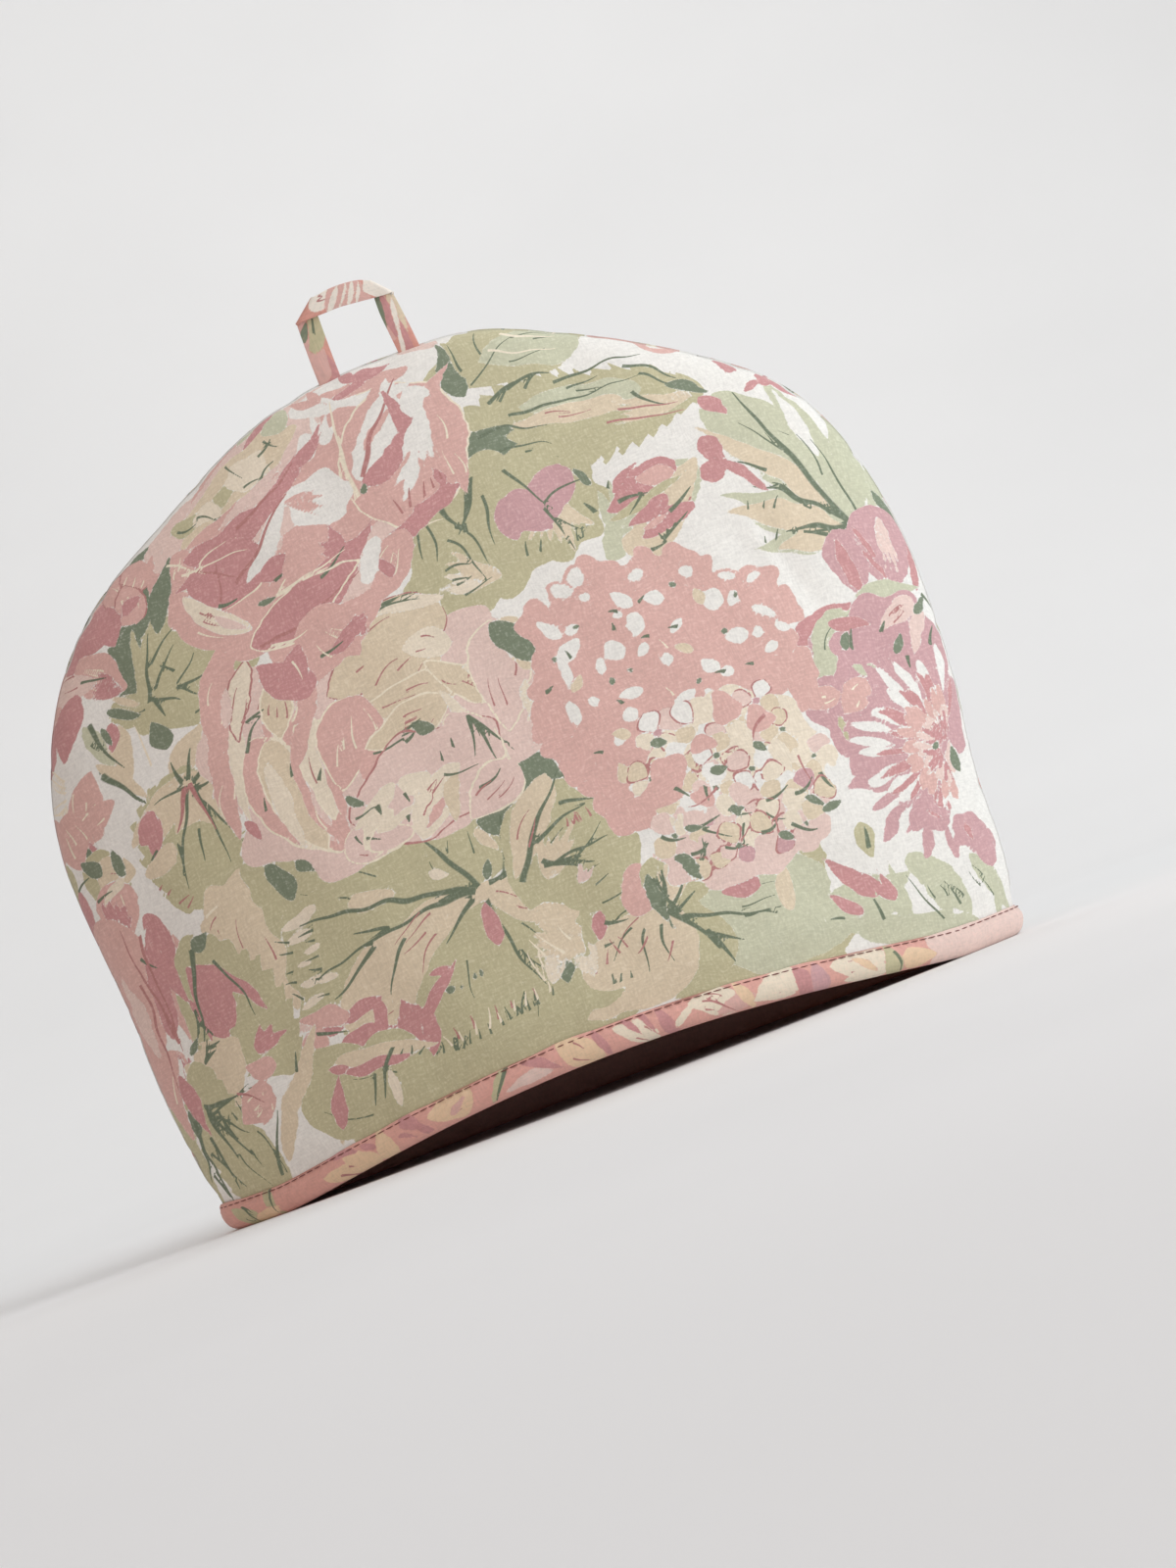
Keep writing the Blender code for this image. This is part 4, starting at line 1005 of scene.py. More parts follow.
BARE_GAPS = (  # x, z, length, width, angle
    (28, 158, 11, 5, -62), (29, 141, 12, 6, 20), (30, 132, 10, 4, 84), (28, 118, 8, 5, 80),
    (47, 142, 8, 6, -64), (55, 158, 9, 6, -50), (57, 141, 9, 7, 60), (45, 122, 8, 5, -6),
    (83, 146, 8, 7, -30), (86, 128, 8, 5, 4), (95, 128, 4, 4, 0), (75, 125, 7, 5, -50),
    (62, 114, 9, 4, 2), (44, 113, 6, 4, 20), (55, 108, 6, 4, -6), (56, 134, 5, 4, 30),
    (74, 114, 7, 4, -40), (37, 90, 6, 3, -40), (104, 130, 6, 4, -60), (36, 150, 5, 4, 10),
    (42, 132, 6, 4, 60), (66, 152, 6, 5, -20), (70, 138, 6, 4, 30), (92, 140, 6, 4, 50),
    (52, 150, 4, 3, 0), (38, 106, 5, 4, 30), (80, 119, 5, 4, -20), (65, 127, 5, 4, 80),
    (98, 120, 5, 4, 20), (35, 124, 4, 3, 0), (79, 156, 6, 4, 10),
)
HYDRANGEA_MARKS = (
    ("blade", "bottle", (66, 86, -8, 7, 3.6, 0.2), (83, 92, -60, 6, 4), (69, 73, -90, 6, 3.4, 0.2),
        (51, 70, -20, 7, 2.6), (96, 61, 8, 9, 3.6, 0.1), (92, 68, -30, 9, 3, -0.2),
        (80, 58, -40, 7, 3, 0.1), (43, 60, -20, 9, 4, -0.4), (46, 57, -70, 9, 3.6, 0.2),
        (50, 102, -10, 6, 3.4)),
    ("line", "line_green", (57, 67, -60, 8, 1, 0.6), (70, 65, -130, 8, 1, 0.6), (51, 56, 30, 8, 1, 0.6),
        (79, 66, -60, 7, 1.1, 0.5), (52, 84, -50, 6, 1.6), (62, 82, -110, 6, 1.4, 0.2),
        (101, 74, -80, 6, 1.8, 0.3)),
    ("line", "line_rose", (66, 80, -140, 12, 1, -0.4), (90, 100, 200, 10, 1.2, 0.6),
        (96, 84, -100, 12, 1, 0.3)),
)


POSY = (
    LEFT_LEAVES, TOP_LEAVES, MAUVE_LEAF, BROAD_LEAVES, RIGHT_FOOT, BUDS, LEFT_BLOOMS, PALE_ROSE,
)


def posy(cloth, right, up):
    """The whole bunch, laid down from its leaves to its blooms, shifted over the cloth."""

    def spot(at):
        u, v = front_spot(at)
        return u + right, v + up

    cloth.spot = spot
    for rows in POSY:
        paint(cloth, rows)
    chrysanthemum(cloth)
    hydrangea(cloth)
    paint(cloth, ROSE)


def draw_front(cloth):
    """The front has one bunch, squarely placed."""
    posy(cloth, 0, 0)


REPEAT_WIDTH, REPEAT_HEIGHT, DROP = 290, 256, 128
BACK_SHIFT = (128, -62)


def draw_back(cloth):
    """The back was cut from another part of the half-drop repeat."""
    for right, up in BACK_PLACES:
        posy(cloth, right, up)


BACK_PLACES = (
    (BACK_SHIFT[0] - REPEAT_WIDTH, BACK_SHIFT[1] - DROP),
    (BACK_SHIFT[0] - REPEAT_WIDTH, BACK_SHIFT[1] - DROP + REPEAT_HEIGHT),
    (BACK_SHIFT[0], BACK_SHIFT[1] + REPEAT_HEIGHT),
    BACK_SHIFT,
)


# ---------------------------------------------------------------------------
# The two panels. Each is a D of printed cotton over wadding, sewn to its pair
# along the arch with a plain seam, turned out, and domed by the pot. The stitches
# draw the seam into a groove, and the cloth puckers where it turns over it.
# ---------------------------------------------------------------------------

CLOTH_COLUMNS = 336
CLOTH_ROWS = 266
RIM_STEPS = 2
INSIDE_COLUMNS = 64
INSIDE_ROWS = 52
CURVE_STEPS = 24
ARC_POINTS = 181

SEAM_GROOVE = 1.7 * MM
GROOVE_HALF_WIDTH = 2.2 * MM
PUCKER_DEPTH = 0.75 * MM
PUCKER_LENGTH = 13 * MM
PUCKERS_ON_ARCH = 52
HEM_PUCKER_DEPTH = 0.5 * MM
HEM_PUCKER_PITCH = 13
SLACK_DEPTH = 0.5 * MM
BINDING_TOP = 12 * MM
CREASE_FADE, PUCKER_FADE, GROOVE_FADE = 30 * MM, 10 * MM, 8 * MM  # how fast each fades at the hem
SEAM_FADE = 12
SLACK_WAVES = (34, 47, 62, 90)  # mm

CREASE_COLUMNS = ("x", "z", "angle", "half_length", "half_width", "depth")
FRONT_CREASES = (  # in mm and degrees; a negative depth is a ridge
    (73, 243, 72, 24, 8, 2.8),
    (109, 141, 118, 26, 9, 1.6),
    (135, 108, 100, 30, 10, 1.6),
    (-128, 196, 140, 26, 11, 1.8),
    (-136, 90, 84, 40, 11, 2.0),
    (-60, 52, 10, 60, 18, 1.2),
    (52, 190, 30, 45, 20, 1.2),
    (-24, 236, 95, 22, 12, 1.4),
    (100, 36, 160, 35, 14, 1.4),
    (107, 152, 104, 22, 3.5, -0.7),
    (113, 146, 108, 26, 4, 0.8),
    (126, 176, 116, 20, 4, -0.6),
    (80, 240, 60, 12, 4, 0.9),
    (-100, 60, 66, 30, 6, 0.8),
)
BACK_CREASES = (
    (-64, 240, 106, 24, 10, 2.4),
    (118, 196, 48, 26, 11, 1.8),
    (-132, 100, 98, 36, 11, 1.8),
    (70, 60, 172, 55, 18, 1.4),
    (-40, 170, 60, 50, 20, 1.2),
    (132, 112, 80, 34, 11, 1.8),
)


def crease_depth(x, z, creases):
    """How far the padding dips at a point."""
    depth = np.zeros(len(x))
    for row in creases:
        crease = dict(zip(CREASE_COLUMNS, row))
        turn = math.radians(crease["angle"])
        dx, dz = x / MM - crease["x"], z / MM - crease["z"]
        along = (dx * math.cos(turn) + dz * math.sin(turn)) / crease["half_length"]
        aside = (dz * math.cos(turn) - dx * math.sin(turn)) / crease["half_width"]
        depth += crease["depth"] * MM * np.exp(-along * along - aside * aside)
    return depth


def slackness(x, z, chance):
    """The slow unevenness of the wadding under the cloth."""
    depth = np.zeros(len(x))
    for wave in SLACK_WAVES:
        turn, start = chance.uniform(0, math.pi), chance.uniform(0, 2 * math.pi)
        along = (x * math.cos(turn) + z * math.sin(turn)) / MM
        depth += SLACK_DEPTH / 2 * np.sin(along * 2 * math.pi / wave + start)
    return depth


def puckers(x, z, out, chance):
    """Short creases across the seam, of uneven width, depth and length."""
    around = np.arctan2(z, x)
    inwards = (1 - out) * np.hypot(x, z)
    depth = np.zeros(len(x))
    for place in np.linspace(0.02, math.pi - 0.02, PUCKERS_ON_ARCH):
        place += chance.uniform(-0.02, 0.02)
        half_arc = chance.uniform(0.008, 0.020)
        long = PUCKER_LENGTH * chance.uniform(0.4, 1.5)
        deep = PUCKER_DEPTH * chance.uniform(0.1, 1.0) ** 1.5
        lean = chance.uniform(-0.6, 0.6) * inwards / np.hypot(x, z)
        depth += deep * np.exp(-(((around - place - lean) / half_arc) ** 2) - inwards / long)
    return depth


def hem_puckers(x, height, chance):
    """Small upright creases where the binding gathers the hem."""
    depth = np.zeros(len(x))
    for place in np.arange(-140, 141, HEM_PUCKER_PITCH):
        middle = place + chance.uniform(-5, 5)
        wide = chance.uniform(2.5, 5.0)
        tall = chance.uniform(8, 20) * MM
        deep = HEM_PUCKER_DEPTH * chance.uniform(0.1, 1.0)
        depth += deep * np.exp(-(((x / MM - middle) / wide) ** 2) - (height - 10 * MM) / tall)
    return depth * smooth((height - 8 * MM) / (6 * MM))


def even_steps(share, wide):
    """Spreads -1 to 1 so that the cloth's points lie evenly over the dome."""
    turned = np.linspace(0, math.pi / 2, ARC_POINTS)
    out = np.sin(turned)
    rise = np.gradient(PANEL_DEPTH * bulge(out), turned)
    length = np.concatenate([[0], np.cumsum(np.hypot(wide * np.cos(turned), rise)[1:])])
    step = np.interp(np.abs(share) * length[-1], length, out)
    return np.sign(share) * step


def cloth_place(x, z, out):
    """Where a point of the dome lies on the flat cloth, in mm from the hem's middle."""
    distance = np.hypot(x, z)
    radius = distance / np.maximum(out, 1e-6)
    turned = np.arcsin(np.clip(out, 0, 1))
    length = np.zeros(len(x))
    for step in range(CURVE_STEPS):
        t = turned * (step + 0.5) / CURVE_STEPS
        sine, cosine = np.sin(t), np.cos(t)
        fall = PANEL_DEPTH * sine * (1 - EDGE_DRAW_IN * sine**2 + 2 * EDGE_DRAW_IN * cosine**2)
        length += np.hypot(radius * cosine, fall) * turned / CURVE_STEPS
    stretch = length / np.maximum(distance, 1e-9) / MM
    return x * stretch, z * stretch


def select_all(thing):
    """Makes a piece the only selected and active one."""
    bpy.ops.object.select_all(action="DESELECT")
    thing.select_set(True)
    bpy.context.view_layer.objects.active = thing


def grid_of(name, columns, rows):
    """A square sheet, from -1 to 1 each way."""
    bpy.ops.mesh.primitive_grid_add(x_subdivisions=columns, y_subdivisions=rows, size=2)
    sheet = bpy.context.object
    sheet.name = sheet.data.name = name
    return sheet


def points_of(mesh):
    """A mesh's points, as an array with a row for each."""
    flat = np.empty(3 * len(mesh.vertices))
    mesh.vertices.foreach_get("co", flat)
    return flat.reshape(-1, 3)


def set_points(mesh, points):
    """Puts a mesh's points in new places."""
    mesh.vertices.foreach_set("co", np.asarray(points, dtype=np.float32).ravel())
    mesh.update()


def panel_cloth(name, side, creases, seed):
    """The printed face of a panel, with its edge turned over the wadding."""
    chance = np.random.default_rng(seed)
    sheet = grid_of(name, CLOTH_COLUMNS + 2 * RIM_STEPS, CLOTH_ROWS + RIM_STEPS)
    flat = points_of(sheet.data)
    column = (flat[:, 0] + 1) / 2 * (CLOTH_COLUMNS + 2 * RIM_STEPS) - RIM_STEPS
    row = (flat[:, 1] + 1) / 2 * (CLOTH_ROWS + RIM_STEPS)
    over_side = np.maximum(np.abs(column - CLOTH_COLUMNS / 2) - CLOTH_COLUMNS / 2, 0)
    over_top = np.maximum(row - CLOTH_ROWS, 0)
    turned_in = np.maximum(over_side, over_top) / RIM_STEPS
    across = even_steps(np.clip(2 * column / CLOTH_COLUMNS - 1, -1, 1), WIDEST_HALF_WIDTH)
    up = even_steps(np.clip(row / CLOTH_ROWS, 0, 1), DOME_HEIGHT)
    x, z = face_point(across, up, 0.0)
    out = reach(x, z, 0.0)
    edge = smooth((1 - out) * SEAM_FADE)
    level = pressed_level(z)
    level += (crease_depth(x, z, creases) + slackness(x, z, chance)) * edge * smooth(z / CREASE_FADE)
    level += puckers(x, z, out, chance) * smooth((z - BINDING_TOP) / PUCKER_FADE)
    level += hem_puckers(x, z, chance) * edge
    depth = (PANEL_DEPTH - level) * bulge(out)
    groove = SEAM_GROOVE * np.exp(-((depth / GROOVE_HALF_WIDTH) ** 2))
    level += groove * smooth((z - BINDING_TOP) / GROOVE_FADE) * (turned_in == 0)
    level += turned_in * (inner_level(z) - level)
    set_points(sheet.data, on_the_wall(across, up, level, side))
    return sheet, cloth_place(x, z, out)


def panel_inside(name, side):
    """The face of a panel that lies against the pot."""
    sheet = grid_of(name, INSIDE_COLUMNS, INSIDE_ROWS)
    flat = points_of(sheet.data)
    across = even_steps(flat[:, 0], WIDEST_HALF_WIDTH)
    up = even_steps((flat[:, 1] + 1) / 2, DOME_HEIGHT)
    level = inner_level(face_point(across, up, 0.0)[1])
    set_points(sheet.data, on_the_wall(across, up, level, side))
    return sheet


def flip_if(thing, wrong):
    """Turns a piece's faces over where they face the wrong way."""
    if wrong:
        select_all(thing)
        bpy.ops.object.mode_set(mode="EDIT")
        bpy.ops.mesh.select_all(action="SELECT")
        bpy.ops.mesh.flip_normals()
        bpy.ops.object.mode_set(mode="OBJECT")


def linear(code):
    """An sRGB hex colour as the linear numbers that a shader takes."""
    shares = [int(code[i : i + 2], 16) / 255 for i in (1, 3, 5)]
    return [s / 12.92 if s <= 0.04045 else ((s + 0.055) / 1.055) ** 2.4 for s in shares] + [1.0]


def add(tree, kind, settings=(), links=()):
    """Adds a node, with its settings by name or socket number, and its links."""
    node = tree.nodes.new("ShaderNode" + kind)
    for name, value in dict(settings).items():
        if isinstance(name, int) or name in node.inputs:
            node.inputs[name].default_value = value
        else:
            setattr(node, name, value)
    for name, output in dict(links).items():
        tree.links.new(output, node.inputs[name])
    return node


def new_finish(name):
    """A material, with its nodes and its main shader."""
    finish = bpy.data.materials.new(name)
    finish.use_nodes = True
    return finish, finish.node_tree, finish.node_tree.nodes["Principled BSDF"]


# The colours of the chintz, as they look on the lit face of the cloth.
INK_COLOURS = {
    "rose_pale": "#E6CDC4",
    "rose": "#DDB4AC",
    "rose_deep": "#CB9595",
    "cream": "#EBE0CC",
    "tan": "#DFD0B6",
    "sage_light": "#CACCB2",
    "sage": "#C4BF9C",
    "bottle": "#7E8A74",
    "mauve": "#CDA3A6",
    "line_green": "#6F7C66",
    "line_rose": "#BB8380",
    "line_cream": "#F0E7D2",
}
THREAD = 0.7  # mm: twice the real spacing, which is too fine to show
EDGE_BLUR = 0.14  # mm: how far an ink bleeds along the threads


def keep_print(mesh, cloth):
    """Stores what is printed on a cloth's points, and where they lie on it, in the mesh."""
    flat = np.stack([cloth.u, cloth.v, np.zeros(len(cloth.u))])
    rows = {"cloth_mm": flat, "inks_a": cloth.inks[0:3], "inks_b": cloth.inks[3:6]}
    rows |= {"inks_c": cloth.inks[6:9], "lines_across": cloth.across_line}
    rows |= {"lines_edge": cloth.line_edge}
    for name, values in rows.items():
        layer = mesh.attributes.new(name, "FLOAT_VECTOR", "POINT")
        layer.data.foreach_set("vector", np.ascontiguousarray(values.T, dtype=np.float32).ravel())


def printed_cotton(name, ground, **other_inks):
    """Glazed plain-weave cotton. Its threads show as a faint grid in colour and relief,
    its print has slightly furred edges and uneven cover, and its glaze is a soft sheen."""
    cotton, tree, shader = new_finish(name)
    inks = INK_COLOURS | other_inks
    place = add(tree, "Attribute", {"attribute_name": "cloth_mm"}).outputs["Vector"]
    fur = add(tree, "TexNoise", {"Scale": 1.1, "Detail": 2.0, "Roughness": 0.7}, {"Vector": place})
    blur = {"From Min": 0.35, "From Max": 0.65, "To Min": -EDGE_BLUR, "To Max": EDGE_BLUR}
    moved = add(tree, "MapRange", blur, {"Value": fur.outputs["Fac"]}).outputs["Result"]

    def covered(distance):
        """1 inside an ink and 0 outside it."""
        edge = add(tree, "Math", {"operation": "ADD"}, {0: distance, 1: moved})
        step = {"From Min": EDGE_BLUR, "From Max": -EDGE_BLUR, "To Min": 0.0, "To Max": 1.0}
        return add(tree, "MapRange", step, {"Value": edge.outputs[0]}).outputs["Result"]

    kept = []
    for layer in ("inks_a", "inks_b", "inks_c", "lines_across", "lines_edge"):
        numbers = add(tree, "Attribute", {"attribute_name": layer}).outputs["Vector"]
        kept += add(tree, "SeparateXYZ", links={0: numbers}).outputs[:]
    ink_edges, across, line_edges = kept[:9], kept[9:12], kept[12:]
    covers = [covered(edge) for edge in ink_edges]
    for side, edge in zip(across, line_edges):
        off = add(tree, "Math", {"operation": "ABSOLUTE"}, {0: side}).outputs[0]
        core = {"From Min": 1.25, "From Max": 0.75, "To Min": 0.0, "To Max": 1.0}
        core = add(tree, "MapRange", core, {"Value": off}).outputs["Result"]
        both = add(tree, "Math", {"operation": "MULTIPLY"}, {0: core, 1: covered(edge)})
        covers.append(both.outputs[0])
    colour = add(tree, "RGB").outputs[0]
    colour.default_value = linear(ground)
    for ink, cover in zip(INKS + LINES, covers):
        mix = {"data_type": "RGBA", 7: linear(inks[ink])}
        colour = add(tree, "Mix", mix, {0: cover, 6: colour}).outputs[2]

    threads = []
    for wide, long in ((1, 0.3), (0.3, 1)):  # a warp thread's shape, and a weft thread's
        scale = {"Scale": (wide / THREAD, long / THREAD, 1)}
        drawn = add(tree, "Mapping", scale, {"Vector": place}).outputs[0]
        fine = {"Scale": 1.0, "Detail": 1.0, "Roughness": 0.5}
        threads.append(add(tree, "TexNoise", fine, {"Vector": drawn}).outputs["Fac"])
    weave = add(tree, "Math", {"operation": "ADD"}, {0: threads[0], 1: threads[1]}).outputs[0]
    bare = {"From Min": 1.06, "From Max": 1.3, "To Min": 0.0, "To Max": 0.13}
    bare = add(tree, "MapRange", bare, {"Value": weave}).outputs["Result"]
    bare = add(tree, "Mix", {"data_type": "RGBA", 7: linear(ground)}, {0: bare, 6: colour})
    colour = bare.outputs[2]
    cloudy = add(tree, "TexNoise", {"Scale": 0.12, "Detail": 3.0}, {"Vector": place}).outputs["Fac"]
    shade = {"From Min": 0.6, "From Max": 1.4, "To Min": 0.90, "To Max": 1.10}
    shade = add(tree, "MapRange", shade, {"Value": weave}).outputs["Result"]
    cloud = {"From Min": 0.3, "From Max": 0.7, "To Min": 0.97, "To Max": 1.03}
    cloud = add(tree, "MapRange", cloud, {"Value": cloudy}).outputs["Result"]
    shade = add(tree, "Math", {"operation": "MULTIPLY"}, {0: shade, 1: cloud}).outputs[0]
    colour = add(tree, "VectorMath", {"operation": "SCALE"}, {0: colour, "Scale": shade}).outputs[0]
    tree.links.new(colour, shader.inputs["Base Color"])
    relief = add(tree, "Bump", {"Strength": 0.3, "Distance": 0.12 * MM}, {"Height": weave})
    tree.links.new(relief.outputs[0], shader.inputs["Normal"])
    glaze = {"Roughness": 0.72, "IOR": 1.47, "Sheen Weight": 0.12, "Sheen Roughness": 0.5}
    for socket, value in glaze.items():
        shader.inputs[socket].default_value = value
    return cotton


def plain_cotton(name, code, pitch):
    """Plain-dyed cotton: one soft colour, broken by the threads and by slow patches of painted shade and
    light that stand in for faint creasing.
    """
    cotton, tree, shader = new_finish(name)
    place = add(tree, "TexCoord").outputs["Object"]
    near = add(tree, "TexNoise", {"Scale": 1 / pitch, "Detail": 2.0}, {"Vector": place})
    # slow patches of painted shade and light, standing in for faint creasing
    wide = add(tree, "TexNoise", {"Scale": 0.04 / pitch, "Detail": 3.0}, {"Vector": place})
    both = add(tree, "Math", {"operation": "ADD"}, {0: near.outputs["Fac"], 1: wide.outputs["Fac"]})
    shade = {"From Min": 0.6, "From Max": 1.4, "To Min": 0.86, "To Max": 1.12}
    shade = add(tree, "MapRange", shade, {"Value": both.outputs[0]}).outputs["Result"]
    base = add(tree, "RGB").outputs[0]
    base.default_value = linear(code)
    base = add(tree, "VectorMath", {"operation": "SCALE"}, {0: base, "Scale": shade}).outputs[0]
    tree.links.new(base, shader.inputs["Base Color"])
    relief = add(tree, "Bump", {"Strength": 0.3, "Distance": 0.15 * MM}, {"Height": near.outputs["Fac"]})
    tree.links.new(relief.outputs[0], shader.inputs["Normal"])
    shader.inputs["Roughness"].default_value = 0.85
    shader.inputs["Sheen Weight"].default_value = 0.1
    return cotton


chintz = printed_cotton("glazed_cotton_chintz", "#EEEDE8")
inner_cotton = plain_cotton("plain_weave_cotton_inside", "#A9777A", 0.9 * MM)


def join_into(thing, others):
    """Makes one piece of several."""
    select_all(thing)
    for other in others:
        other.select_set(True)
    bpy.ops.object.join()


def close_rim(thing):
    """Sews two open edges of a piece together with a strip of faces."""
    select_all(thing)
    bpy.ops.object.mode_set(mode="EDIT")
    bpy.ops.mesh.select_mode(type="EDGE")
    bpy.ops.mesh.select_all(action="DESELECT")
    bpy.ops.mesh.select_non_manifold(extend=False)
    bpy.ops.mesh.bridge_edge_loops()
    bpy.ops.object.mode_set(mode="OBJECT")


def make_panel(name, node, side, creases, seed, draw):
    """One whole panel: its printed cloth, and the face that lies against the pot."""
    sheet, (u, v) = panel_cloth(name, side, creases, seed)
    cloth = Cloth(u * -side, v, seed)
    draw(cloth)
    keep_print(sheet.data, cloth)
    flip_if(sheet, side == BACK)
    sheet.data.materials.append(chintz)
    inside = panel_inside(name + "_inside", side)
    flip_if(inside, side == FRONT)
    keep_print(inside.data, Cloth(*np.zeros((2, len(inside.data.vertices))), seed))
    inside.data.materials.append(inner_cotton)
    join_into(sheet, [inside])
    close_rim(sheet)
    bpy.ops.object.shade_smooth()
    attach(sheet, "root")
    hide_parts(node)


make_panel("front_panel_cloth", "front_panel", FRONT, FRONT_CREASES, 11, draw_front)
make_panel("back_panel_cloth", "back_panel", BACK, BACK_CREASES, 23, draw_back)


# ---------------------------------------------------------------------------
# The hem binding. One strip cut on the bias and pieced from the same kind of
# chintz and a plain pink, folded over the raw hem and stitched down along its
# upper edge. The wadding in the hem fills it to a soft roll.
# ---------------------------------------------------------------------------

BINDING_STATIONS = 720
BINDING_SECTION = (  # level and height in mm, round the folded strip from its upper edge
    (0.55, 9.75), (0.10, 9.65), (-0.35, 9.2), (-0.75, 8.2), (-1.10, 7.0), (-1.30, 5.8),
    (-1.35, 4.6), (-1.20, 3.4), (-0.80, 2.2), (-0.10, 1.2), (0.80, 0.45), (1.90, 0.0),
    (3.20, 0.0), (4.40, 0.0), (5.40, 0.4), (6.10, 1.2), (6.50, 2.4), (6.70, 4.0),
    (6.70, 6.0), (6.50, 8.0), (6.20, 9.3), (5.70, 9.7), (5.35, 9.2), (5.20, 7.0),
    (5.20, 4.0), (5.20, 1.4), (4.80, 1.2), (3.00, 1.2), (1.20, 1.2), (0.85, 1.4),
    (0.85, 4.0), (0.85, 7.0), (0.85, 9.2),
)
FACE_POINTS = 12
STITCH_PITCH = 3.4
STITCH_HEIGHT = 9.0
STITCH_DENT = 0.30
BIAS_DRAG = 0.16
BIAS_FOLDS = (71, 103, 139, 187)  # how many there are of each size, all the way round
BIAS_SLANT = 0.9
BINDING_SWAY = ((0.35, 9, 1.0), (0.25, 23, 0.0))  # mm, waves all the way round, and phase
SWAY_FROM = 6
FACE_TOP, FACE_FADE = 10.5, 2
STITCH_ROWS = (1, 2, 3)
STITCH_HALF = 0.3


def hem_place(turned, level, height):
    """A point of the wall near the hem, at an angle round it."""
    x = half_width(height, level) * np.cos(turned)
    depth = (PANEL_DEPTH - level) * bulge(reach(x, height, level))
    side = np.where(np.sin(turned) < -1e-9, FRONT, BACK)
    return np.stack([x, side * depth, height + hem_rise(x, side)], axis=1)


def hem_walk():
    """Angles round the hem from its left corner past the front, and the mm walked to each."""
    turned = np.linspace(math.pi, 3 * math.pi, 4001)
    place = hem_place(turned, np.zeros(len(turned)), np.zeros(len(turned)))
    stride = np.linalg.norm(np.diff(place, axis=0), axis=1) / MM
    return turned, np.concatenate([[0], np.cumsum(stride)])


walk_angles, walk_length = hem_walk()
HEM_LENGTH = walk_length[-1]


def binding_mesh(name, seed):
    """The folded strip, with the drag of the bias and a dent at each stitch."""
    chance = np.random.default_rng(seed)
    section = np.array(BINDING_SECTION + BINDING_SECTION[:1])
    strip = grid_of(name, BINDING_STATIONS, len(section) - 1)
    flat = points_of(strip.data)
    row = np.rint((flat[:, 1] + 1) / 2 * (len(section) - 1)).astype(int)
    walked = (flat[:, 0] + 1) / 2 * HEM_LENGTH
    turned = np.interp(walked, walk_length, walk_angles)
    level, height = section[row, 0].copy(), section[row, 1].copy()
    on_face = smooth((FACE_TOP - height) / FACE_FADE) * (row < FACE_POINTS)
    girth = np.concatenate([[0], np.cumsum(np.linalg.norm(np.diff(section, axis=0), axis=1))])
    girth = girth[row]
    loops = 2 * math.pi / HEM_LENGTH
    drag = np.zeros(len(row))
    for turns in BIAS_FOLDS:
        start = chance.uniform(0, 6)
        drag += BIAS_DRAG / 2 * np.sin(turns * loops * (walked + BIAS_SLANT * girth) + start)
    sway = sum(high * np.sin(turns * loops * walked + start) for high, turns, start in BINDING_SWAY)
    level += drag * on_face
    height += sway * (height > SWAY_FROM) * (row < FACE_POINTS)
    stitch = (walked / STITCH_PITCH) % 1.0 - 0.5
    level += STITCH_DENT * np.exp(-((stitch / STITCH_HALF) ** 2)) * np.isin(row, STITCH_ROWS)
    set_points(strip.data, hem_place(turned, level * MM, height * MM))
    return strip, walked, girth


def merge_ends(thing):
    """Joins the edges of a sheet that has been wrapped round to meet itself."""
    select_all(thing)
    bpy.ops.object.mode_set(mode="EDIT")
    bpy.ops.mesh.select_all(action="SELECT")
    bpy.ops.mesh.remove_doubles(threshold=0.005 * MM)
    bpy.ops.mesh.normals_make_consistent(inside=False)
    bpy.ops.object.mode_set(mode="OBJECT")


def front_walk(x):
    """How far round the hem the front reaches a place across it, in mm."""
    half = walk_angles <= 2 * math.pi
    return np.interp(x * MM, HEM_HALF_WIDTH * np.cos(walk_angles[half]), walk_length[half])


def draw_binding(cloth):
    """What falls in the strip: cut up petals and leaves, and a plain pink at the corners."""
    for start, hand in ((0, 1), (HEM_LENGTH / 2, -1)):
        cloth.spot = lambda at: (start + front_walk(hand * at[0]), at[1])
        paint(cloth, BINDING_PRINT)


